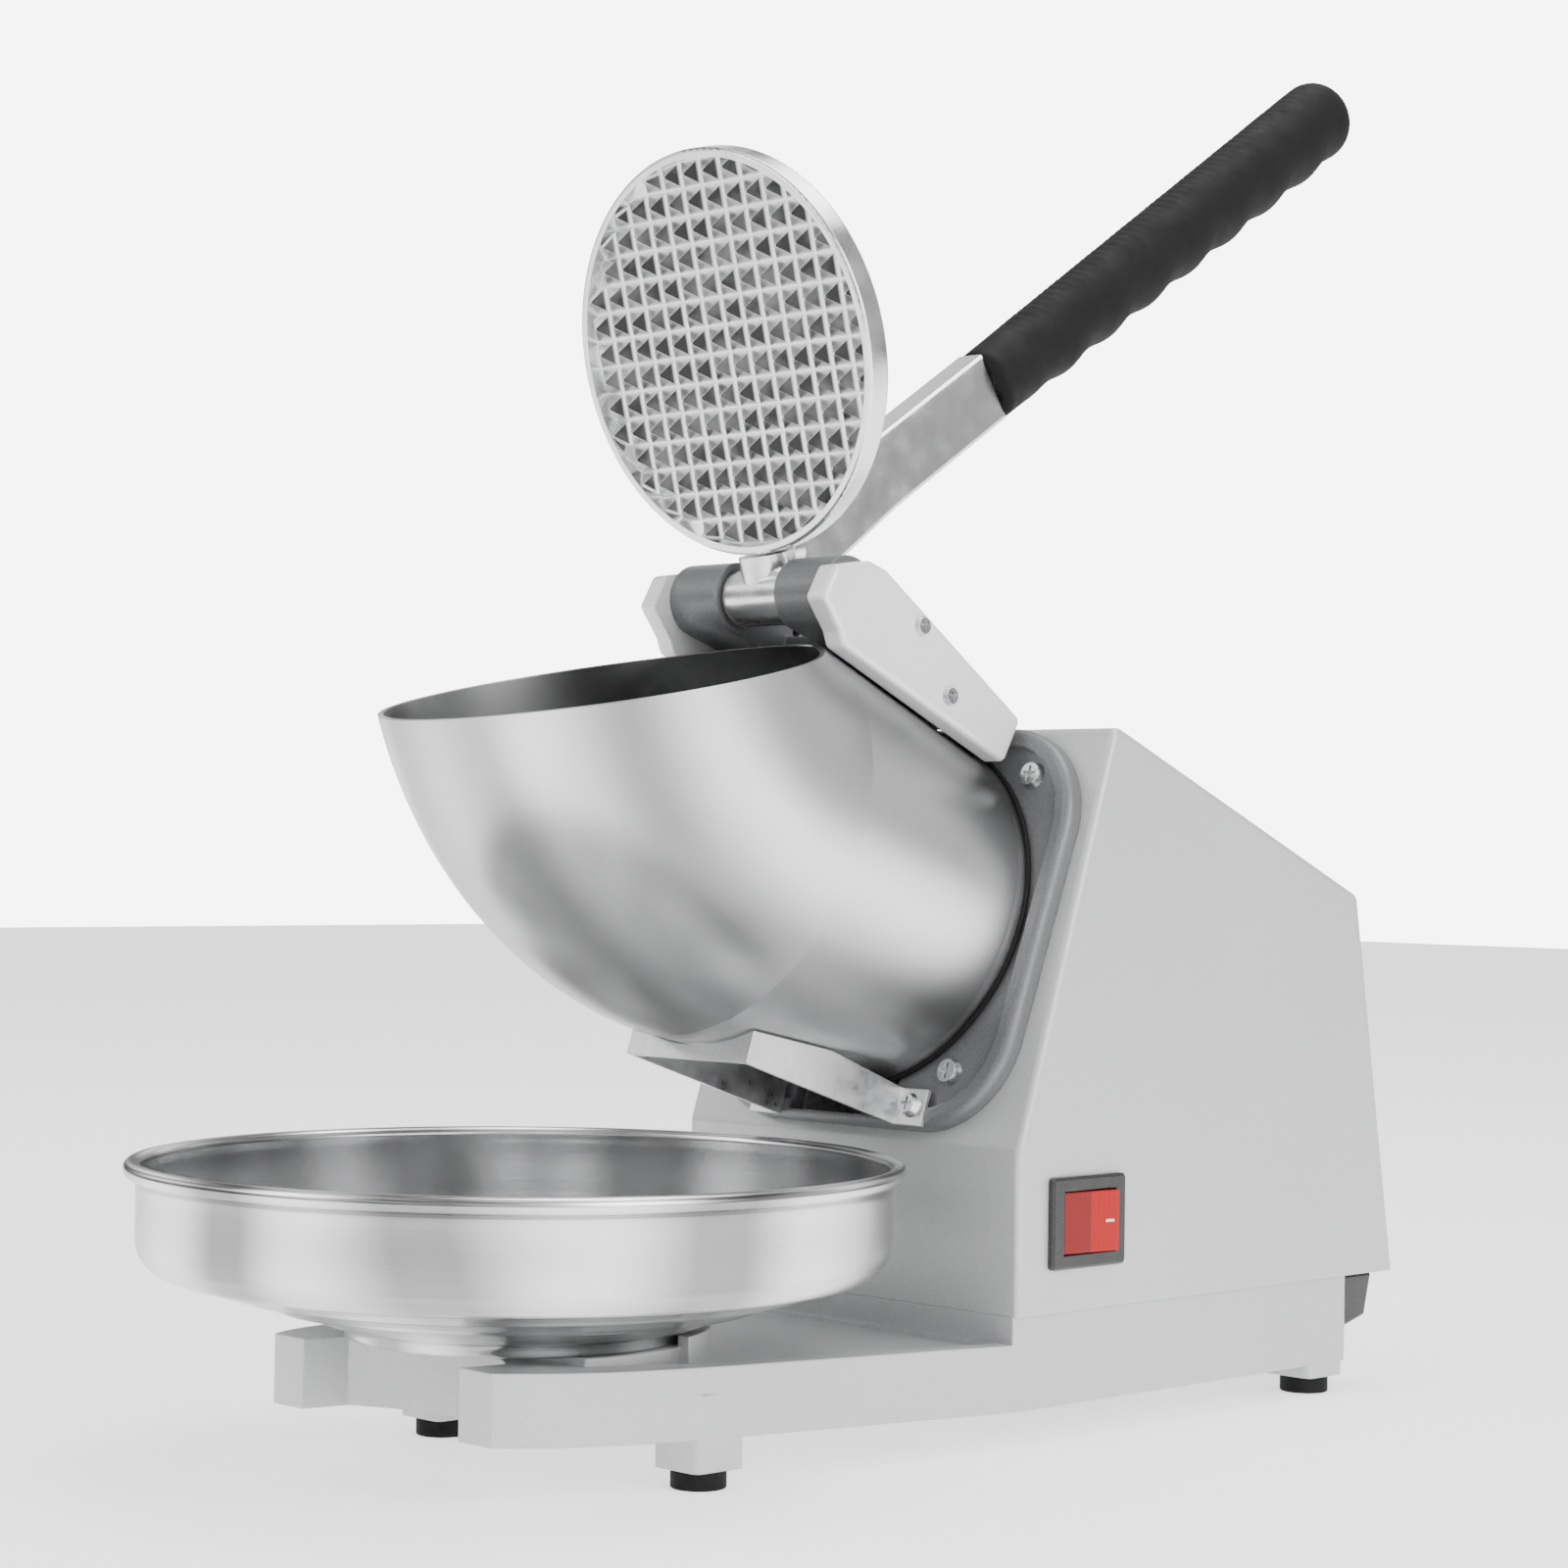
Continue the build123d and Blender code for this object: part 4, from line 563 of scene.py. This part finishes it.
def dress(slots):
    """Puts the slots' finishes on the machined pieces that use them."""
    for entry in frame["record"]["subparts"]:
        if entry["material_slot"] not in slots:
            continue
        piece = nodes[entry["node"]]
        finish = finish_of(entry["material_slot"])
        if piece.material_slots:
            for slot in piece.material_slots:
                slot.material = finish
        else:
            piece.data.materials.append(finish)


# ---- mesh making -----------------------------------------------------------------------------
def add_piece(name, points, faces, slot, body, smooth=True):
    """New object that rides on a body and wears a slot's finish."""
    mesh = bpy.data.meshes.new(name)
    mesh.from_pydata([tuple(p) for p in points], [], faces)
    mesh.validate()
    mesh.polygons.foreach_set("use_smooth", [smooth] * len(mesh.polygons))
    mesh.update()
    piece = bpy.data.objects.new(name, mesh)
    bpy.context.scene.collection.objects.link(piece)
    piece.data.materials.append(finish_of(slot))
    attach(piece, body)
    return piece


def grid_faces(rows, columns, close_columns=False, close_rows=False):
    """Quads of a grid of rows by columns, with either direction closed on itself."""
    faces = []
    for row in range(rows if close_rows else rows - 1):
        for column in range(columns if close_columns else columns - 1):
            beside = (column + 1) % columns
            this_row = row * columns
            next_row = (row + 1) % rows * columns
            faces.append((this_row + column, this_row + beside, next_row + beside, next_row + column))
    return faces


def turned(origin, axis, side, profile, steps):
    """Points of a profile of (radius, height) pairs turned about an axis."""
    other = axis.cross(side)
    points = []
    for step in range(steps):
        angle = 2 * pi * step / steps
        spoke = side * cos(angle) + other * sin(angle)
        points += [origin + spoke * radius + axis * height for radius, height in profile]
    return points


def arc(centre, radius, start, end, steps):
    """Points on an arc, angles in degrees."""
    return [
        (centre[0] + radius * cos(radians(start + (end - start) * i / steps)),
         centre[1] + radius * sin(radians(start + (end - start) * i / steps)))
        for i in range(steps + 1)
    ]


def bead(name, origin, axis, radius, thickness, slot, body, steps=128):
    """Round bead about an axis."""
    profile = arc((radius, 0.0), thickness, 0, 330, 11)
    side = axis.orthogonal().normalized()
    points = turned(origin, axis.normalized(), side, profile, steps)
    return add_piece(name, points, grid_faces(steps, len(profile), True, True), slot, body)


# ---- pieces ----------------------------------------------------------------------------------
def make_grip(sizes):
    """Rubber grip with finger hollows underneath, a rolled mouth and a moulding nub."""
    lean = radians(33.1)
    along = Vector((0, cos(lean), sin(lean)))
    rise = Vector((0, -sin(lean), cos(lean)))
    start = Vector((0, 0.046, 0.2659))
    end_round, mouth_round, stations, around = 0.0105, 0.0016, 190, 56
    bore, mouth_depth, nub_rise = 0.0049, 0.006, 0.0030
    smooth_start, smooth_end, ribs = 0.05, 0.965, 60
    belly, flat_top, rib_rise = 0.0008, 0.0003, 0.00018
    rows = []
    whole = sizes.grip_length - 0.0012
    for index in range(stations + 1):
        t = whole * index / stations
        part = t / whole
        radius = sizes.grip_start_radius + (sizes.grip_end_radius - sizes.grip_start_radius) * part
        if t < mouth_round:
            radius -= mouth_round - (mouth_round**2 - (mouth_round - t) ** 2) ** 0.5
        left = whole - t
        if left < end_round:
            radius *= max(0.0, 1 - ((end_round - left) / end_round) ** 2.4) ** 0.5
        rows.append((t, radius, part))
    points = []
    for t, radius, part in rows:
        fade = min(1.0, max(0.0, (part - smooth_start) / 0.08))
        fade *= min(1.0, max(0.0, (smooth_end - part) / 0.06))
        waved = (part - smooth_start) / (smooth_end - smooth_start)
        wave = 0.5 - 0.5 * cos(2 * pi * sizes.grip_waves * waved)
        for step in range(around):
            angle = 2 * pi * step / around
            under = max(0.0, -cos(angle)) ** 0.8
            over = max(0.0, cos(angle)) ** 2
            rib = rib_rise * max(0.0, cos(2 * angle)) * sin(2 * pi * part * ribs) * fade * (1 - under)
            fingers = (belly - sizes.grip_wave_depth * wave) * fade * under
            spoke = rise * cos(angle) * 1.03 + ACROSS * sin(angle) * 0.95
            points.append(start + along * t + spoke * max(radius + fingers - flat_top * over + rib, 0.0))
    mouth = turned(start, along, rise, [(bore, 0.0)], around)
    inner = [point + along * mouth_depth for point in mouth]
    points = inner + mouth + points
    faces = grid_faces(len(points) // around, around, True)
    grip = add_piece("grip_sleeve", points, faces, "grip_rubber", "pusher")
    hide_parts("grip")
    tip = start + along * (whole - 0.0016)
    nub = arc((0.0, 0.0), 1.0, 90, 0, 8)
    profile = [(x * sizes.nub_radius, y * nub_rise) for x, y in nub] + [(sizes.nub_radius, -0.002)]
    steps = 28
    points = turned(tip, along, ACROSS, profile, steps)
    add_piece("grip_nub", points, grid_faces(steps, len(profile), False, True), "grip_rubber", "pusher")


def make_bowl(sizes):
    """Spun bowl: rolled rim, straight wall, round corner, stepped cone and foot ring."""
    low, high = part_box("bowl")
    centre = Vector(((low.x + high.x) / 2, (low.y + high.y) / 2, low.z))
    rim_r = high.x - sizes.bowl_roll
    wall_r = rim_r - 0.0010
    top = high.z - low.z
    foot_r, foot_h = sizes.bowl_foot_radius, sizes.bowl_foot_height
    wall, corner, roll = sizes.bowl_wall, sizes.bowl_corner, sizes.bowl_roll
    side_low, cone_r = 0.0142, foot_r + 0.0016
    wall_low = side_low + corner
    floor_h = foot_h + wall
    spun_steps, step_rise = 3, 0.00035
    outer = [(0.0, foot_h), (foot_r * 0.6, foot_h), (foot_r - 0.0022, foot_h)]
    outer += [(foot_r - 0.0014, foot_h - 0.0006), (foot_r - 0.0012, 0.0005), (foot_r - 0.0007, 0.0)]
    outer += [(foot_r - 0.0002, 0.0004), (foot_r, 0.0012)]
    outer += [(foot_r + 0.0004, foot_h - 0.0004), (cone_r, foot_h)]
    # shallow spun steps on the cone
    stations = 19
    for station in range(1, stations):
        part = station / stations
        bump = step_rise * max(0.0, sin(part * spun_steps * 2 * pi)) ** 3
        reach = cone_r + (wall_r - corner - cone_r) * part
        outer.append((reach, foot_h + (side_low - foot_h) * part - bump))
    outer += arc((wall_r - corner, wall_low), corner, -90, 0, 10)
    outer += [(wall_r, wall_low + (top - 2 * roll - wall_low) * i / 4) for i in (1, 2, 3)]
    rim = arc((rim_r, top - roll), roll, -112, 196, 26)
    inner_r = wall_r - wall
    inner = [(inner_r, top - 2 * roll - 0.0006), (inner_r, wall_low + 0.002)]
    inner += arc((wall_r - corner, wall_low), corner - wall, 0, -90, 10)
    inner += [(foot_r + 0.002, floor_h + 0.0002), (foot_r - 0.001, floor_h)]
    inner += [(foot_r * 0.5, floor_h), (0.0, floor_h)]
    profile = outer + rim + inner
    steps = 200
    points = turned(centre, Vector((0, 0, 1)), ACROSS, profile, steps)
    faces = grid_faces(steps, len(profile), False, True)
    bowl = add_piece("bowl_spun", points, faces, "bowl_steel", "bowl")
    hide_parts("bowl")


def make_gaskets(sizes):
    """Black seals: round the chute's foot and in the cord's bore."""
    taper, flange_t = 0.0062, 0.0047
    foot_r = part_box("chute")[1].x - taper
    radius = foot_r + sizes.gasket_bead * 0.6
    seat = CHUTE_FOOT + FACE_OUT * flange_t
    bead("chute_foot_seal", seat, FACE_OUT, radius, sizes.gasket_bead, "foot_rubber", "machine")
    low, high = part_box("cord_inlet")
    bore_z, bush_r, bush_bead, sunk = 0.0245, 0.0046, 0.0007, 0.0012
    mouth = Vector(((low.x + high.x) / 2, high.y - sunk, bore_z))
    bead("cord_bore_bush", mouth, Vector((0, 1, 0)), bush_r, bush_bead, "foot_rubber", "machine", 48)


def make_switch_mark():
    """White dash printed on the rocker's rear half."""
    low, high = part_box("switch_rocker")
    crease_x, dash_y, clear, print_t = 0.0022, 0.0062, 0.00005, 0.00012
    slope = (high.x - ROCKER_AT.x - crease_x) / (high.y - ROCKER_AT.y)
    along = Vector((slope, 1, 0)).normalized()
    out = Vector((1, -slope, 0)).normalized()
    at = Vector((ROCKER_AT.x + crease_x, ROCKER_AT.y, ROCKER_AT.z)) + along * dash_y + out * clear
    half_long, half_wide, corner = 0.0014, 0.00035, 0.0002
    ring = []
    for sx, sz, start in ((1, 1, 0), (-1, 1, 90), (-1, -1, 180), (1, -1, 270)):
        ring += arc((sx * (half_long - corner), sz * (half_wide - corner)), corner, start, start + 90, 4)
    points = [at + along * u + Vector((0, 0, v)) for u, v in ring]
    points += [p + out * print_t for p in points]
    count = len(ring)
    faces = [tuple(reversed(range(count))), tuple(range(count, 2 * count))]
    faces += [(i, (i + 1) % count, count + (i + 1) % count, count + i) for i in range(count)]
    add_piece("rocker_dash", points, faces, "white_plastic", "rocker", smooth=False)


def make_louvres(sizes):
    """Pressed lips over the rear vent slots."""
    low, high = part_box("cover")
    lean_in, panel_rise = 0.0176, 0.1019
    pitch, lip_width, lip_start, proud = 0.008, 0.0052, -0.0010, 0.0001
    foot = Vector((0, high.y, low.z))
    crest = Vector((0, high.y - lean_in, low.z + panel_rise))
    up = (crest - foot).normalized()
    out = ACROSS.cross(up) * -1
    middle = (foot + crest) / 2
    half = sizes.louvre_length / 2
    points, faces = [], []
    columns, rows = 34, 9
    for slot in (-3, -2, -1, 0, 1, 2, 3):
        centre = middle + up * pitch * slot
        first = len(points)
        for row in range(rows):
            v = row / (rows - 1)
            for column in range(columns):
                u = column / (columns - 1)
                ends = min(1.0, sin(pi * u) * 5.5) ** 0.6
                lift = sizes.louvre_rise * ends * sin(pi / 2 * (1 - v) ** 0.8)
                along_panel = ACROSS * (2 * u - 1) * half + up * (lip_width * v + lip_start)
                points.append(centre + along_panel + out * (lift + proud))
        faces += [tuple(first + i for i in face) for face in grid_faces(rows, columns)]
    lips = add_piece("louvre_lips", points, faces, "cover_paint", "machine")
    sheet = lips.modifiers.new("sheet", "SOLIDIFY")
    sheet.thickness = 0.0007
    sheet.offset = 0.0


def make_stage(studio):
    """Pale floor, three softboxes, a striped sky for the reflections, and the camera."""
    size, rows = 4.0, 9
    floor_glow, wall_glow, sky_glow = 1.1, 7.0, 1.15
    stripe_scale, stripe_bend, stripe_low, stripe_high = 1.1, 1.5, 0.30, 1.45
    marks = [size * (2 * index / (rows - 1) - 1) for index in range(rows)]
    points = [Vector((x, y, 0)) for y in marks for x in marks]
    mesh = bpy.data.meshes.new("floor")
    mesh.from_pydata([tuple(p) for p in points], [], grid_faces(rows, rows))
    floor = bpy.data.objects.new("floor", mesh)
    bpy.context.scene.collection.objects.link(floor)
    sheet = Finish("floor_sheet", studio.floor_colour, 0.0, 0.7)
    sheet.rough(sheet.noise(3, 2), 0.66, 0.78)
    sheet.shader.inputs["Emission Color"].default_value = (1.0, 1.0, 1.0, 1.0)
    sheet.shader.inputs["Emission Strength"].default_value = floor_glow
    floor.data.materials.append(sheet.material)

    world = bpy.data.worlds.new("studio")
    bpy.context.scene.world = world
    world.use_nodes = True
    tree = world.node_tree
    tree.nodes.clear()
    output = tree.nodes.new("ShaderNodeOutputWorld")
    sky = tree.nodes.new("ShaderNodeBackground")
    wall = tree.nodes.new("ShaderNodeBackground")
    wall.inputs["Color"].default_value = (1.0, 1.0, 1.0, 1.0)
    wall.inputs["Strength"].default_value = wall_glow
    place = tree.nodes.new("ShaderNodeTexCoord")
    split = tree.nodes.new("ShaderNodeSeparateXYZ")
    shift = tree.nodes.new("ShaderNodeMapRange")
    shift.inputs["From Min"].default_value = -1.0
    ramp = tree.nodes.new("ShaderNodeValToRGB")
    stops = [(0.0, 0.60), (0.40, 0.50), (0.49, 0.10), (0.56, 0.35), (0.66, 1.25)]
    stops += [(0.76, 1.10), (0.84, 0.25), (0.93, 1.0), (1.0, 1.2)]
    while len(ramp.color_ramp.elements) < len(stops):
        ramp.color_ramp.elements.new(0.5)
    for element, (at, value) in zip(ramp.color_ramp.elements, stops):
        element.position = at
        element.color = (value, value, value, 1.0)
    ray = tree.nodes.new("ShaderNodeLightPath")
    mix = tree.nodes.new("ShaderNodeMixShader")
    tree.links.new(place.outputs["Generated"], split.inputs["Vector"])
    tree.links.new(split.outputs["Z"], shift.inputs["Value"])
    tree.links.new(shift.outputs["Result"], ramp.inputs["Fac"])
    stripes = tree.nodes.new("ShaderNodeTexWave")
    stripes.bands_direction = "DIAGONAL"
    stripes.inputs["Scale"].default_value = stripe_scale
    stripes.inputs["Distortion"].default_value = stripe_bend
    stripes.inputs["Detail"].default_value = 1.0
    tree.links.new(place.outputs["Generated"], stripes.inputs["Vector"])
    soft = tree.nodes.new("ShaderNodeMapRange")
    soft.inputs["To Min"].default_value = stripe_low
    soft.inputs["To Max"].default_value = stripe_high
    tree.links.new(stripes.outputs["Fac"], soft.inputs["Value"])
    banded = tree.nodes.new("ShaderNodeVectorMath")
    banded.operation = "SCALE"
    tree.links.new(ramp.outputs["Color"], banded.inputs[0])
    tree.links.new(soft.outputs["Result"], banded.inputs["Scale"])
    tree.links.new(banded.outputs["Vector"], sky.inputs["Color"])
    tree.links.new(ray.outputs["Is Camera Ray"], mix.inputs["Fac"])
    tree.links.new(sky.outputs["Background"], mix.inputs[1])
    tree.links.new(wall.outputs["Background"], mix.inputs[2])
    tree.links.new(mix.outputs["Shader"], output.inputs["Surface"])
    sky.inputs["Strength"].default_value = sky_glow

    lights = (
        ("key_softbox", (-0.65, -1.25, 1.15), 0.9, 0.9, studio.key_power),
        ("fill_softbox", (1.35, -0.15, 0.75), 0.9, 1.1, studio.fill_power),
        ("top_softbox", (0.1, 0.35, 1.60), 1.2, 1.0, studio.top_power),
    )
    aim = Vector((0, -0.02, 0.17))
    for name, at, wide, tall, power in lights:
        lamp = bpy.data.lights.new(name, "AREA")
        lamp.shape, lamp.size, lamp.size_y, lamp.energy = "RECTANGLE", wide, tall, power
        holder = bpy.data.objects.new(name, lamp)
        holder.location = at
        holder.rotation_euler = (aim - Vector(at)).to_track_quat("-Z", "Y").to_euler()
        bpy.context.scene.collection.objects.link(holder)

    turn, tip, roll = studio.turn, studio.tip, studio.roll
    forward = Vector((-sin(turn) * cos(tip), cos(turn) * cos(tip), sin(tip)))
    right = Vector((cos(turn), sin(turn), 0))
    upward = right.cross(forward)
    right, upward = right * cos(roll) + upward * sin(roll), upward * cos(roll) - right * sin(roll)
    camera = bpy.data.objects.new("camera", bpy.data.cameras.new("camera"))
    camera.data.lens = studio.lens
    camera.data.sensor_width = 36.0
    camera.data.clip_start = 0.01
    facing = Matrix((right, upward, -forward)).transposed().to_4x4()
    camera.matrix_world = Matrix.Translation(studio.camera_at) @ facing
    bpy.context.scene.collection.objects.link(camera)
    bpy.context.scene.camera = camera


# ---- operators -------------------------------------------------------------------------------
class SHAVER_OT_case(Operator):
    """Paint the cover, base and side plates"""

    bl_idname = "shaver.case"
    bl_label = "Paint the Case"

    def execute(self, context):
        dress({"cover_paint", "cast_base", "side_plates"})
        return {"FINISHED"}


class SHAVER_OT_castings(Operator):
    """Finish the dark flange, the bracket and the raw castings"""

    bl_idname = "shaver.castings"
    bl_label = "Finish the Castings"

    def execute(self, context):
        dress({"dark_casting", "housing_alloy", "capacitor_can", "motor_paint"})
        return {"FINISHED"}


class SHAVER_OT_steel(Operator):
    """Polish the chute, guard, blades, shafts, sheets and screws"""

    bl_idname = "shaver.steel"
    bl_label = "Polish the Steel"

    def execute(self, context):
        dress({"chute_steel", "bowl_steel", "guard_steel", "blade_steel", "bearing_steel", "shaft_steel"})
        dress({"fasteners", "zinc_sheet", "cutter_alloy"})
        return {"FINISHED"}


class SHAVER_OT_pusher(Operator):
    """Buff the pusher's disc and arm"""

    bl_idname = "shaver.pusher"
    bl_label = "Buff the Pusher"

    def execute(self, context):
        dress({"pusher_alloy"})
        return {"FINISHED"}


class SHAVER_OT_drive(Operator):
    """Finish the motor's core plates and windings"""

    bl_idname = "shaver.drive"
    bl_label = "Finish the Drive"

    def execute(self, context):
        dress({"laminations", "copper"})
        return {"FINISHED"}


class SHAVER_OT_mouldings(Operator):
    """Finish the rubber and plastic mouldings"""

    bl_idname = "shaver.mouldings"
    bl_label = "Finish the Mouldings"

    def execute(self, context):
        dress({"grip_rubber", "foot_rubber", "black_plastic", "white_plastic", "red_plastic"})
        return {"FINISHED"}


class SHAVER_OT_grip(Operator):
    """Mould the rubber grip with its finger waves"""

    bl_idname = "shaver.grip"
    bl_label = "Mould the Grip"

    def execute(self, context):
        make_grip(context.scene.shaver_sizes)
        return {"FINISHED"}


class SHAVER_OT_bowl(Operator):
    """Spin the bowl with its rolled rim"""

    bl_idname = "shaver.bowl"
    bl_label = "Spin the Bowl"

    def execute(self, context):
        make_bowl(context.scene.shaver_sizes)
        return {"FINISHED"}


class SHAVER_OT_gaskets(Operator):
    """Fit the seal at the chute's foot and the bush in the cord's bore"""

    bl_idname = "shaver.gaskets"
    bl_label = "Fit the Gaskets"

    def execute(self, context):
        make_gaskets(context.scene.shaver_sizes)
        return {"FINISHED"}


class SHAVER_OT_switch_mark(Operator):
    """Print the dash on the rocker"""

    bl_idname = "shaver.switch_mark"
    bl_label = "Print the Switch Mark"

    def execute(self, context):
        make_switch_mark()
        return {"FINISHED"}


class SHAVER_OT_louvres(Operator):
    """Press the louvre lips on the rear panel"""

    bl_idname = "shaver.louvres"
    bl_label = "Press the Louvres"

    def execute(self, context):
        make_louvres(context.scene.shaver_sizes)
        return {"FINISHED"}


class SHAVER_OT_stage(Operator):
    """Lay the floor and set the lights and camera"""

    bl_idname = "shaver.stage"
    bl_label = "Set the Stage"

    def execute(self, context):
        make_stage(context.scene.shaver_studio)
        return {"FINISHED"}


OPERATORS = (
    SHAVER_OT_case,
    SHAVER_OT_castings,
    SHAVER_OT_steel,
    SHAVER_OT_pusher,
    SHAVER_OT_drive,
    SHAVER_OT_mouldings,
    SHAVER_OT_grip,
    SHAVER_OT_bowl,
    SHAVER_OT_gaskets,
    SHAVER_OT_switch_mark,
    SHAVER_OT_louvres,
    SHAVER_OT_stage,
)


class SHAVER_PT_panel(Panel):
    """Lists the steps that build the machine's look"""

    bl_idname = "SHAVER_PT_panel"
    bl_label = "Shaved Ice Machine"
    bl_space_type = "VIEW_3D"
    bl_region_type = "UI"
    bl_category = "Ice Machine"

    def draw(self, context):
        layout = self.layout
        for operator in OPERATORS:
            layout.operator(operator.bl_idname)
        scene = context.scene
        for group in (scene.shaver_sizes, scene.shaver_colours, scene.shaver_studio):
            box = layout.box()
            for name in group.bl_rna.properties.keys():
                if name not in {"rna_type", "name"}:
                    box.prop(group, name)


CLASSES = (ShaverSizes, ShaverColours, StudioSettings, *OPERATORS, SHAVER_PT_panel)


def register():
    for item in CLASSES:
        bpy.utils.register_class(item)
    bpy.types.Scene.shaver_sizes = PointerProperty(type=ShaverSizes)
    bpy.types.Scene.shaver_colours = PointerProperty(type=ShaverColours)
    bpy.types.Scene.shaver_studio = PointerProperty(type=StudioSettings)


def unregister():
    del bpy.types.Scene.shaver_studio
    del bpy.types.Scene.shaver_colours
    del bpy.types.Scene.shaver_sizes
    for item in reversed(CLASSES):
        bpy.utils.unregister_class(item)


def main():
    register()
    for operator in OPERATORS:
        group, name = operator.bl_idname.split(".")
        getattr(getattr(bpy.ops, group), name)()
    bpy.context.view_layer.update()


if __name__ == "__main__":
    main()
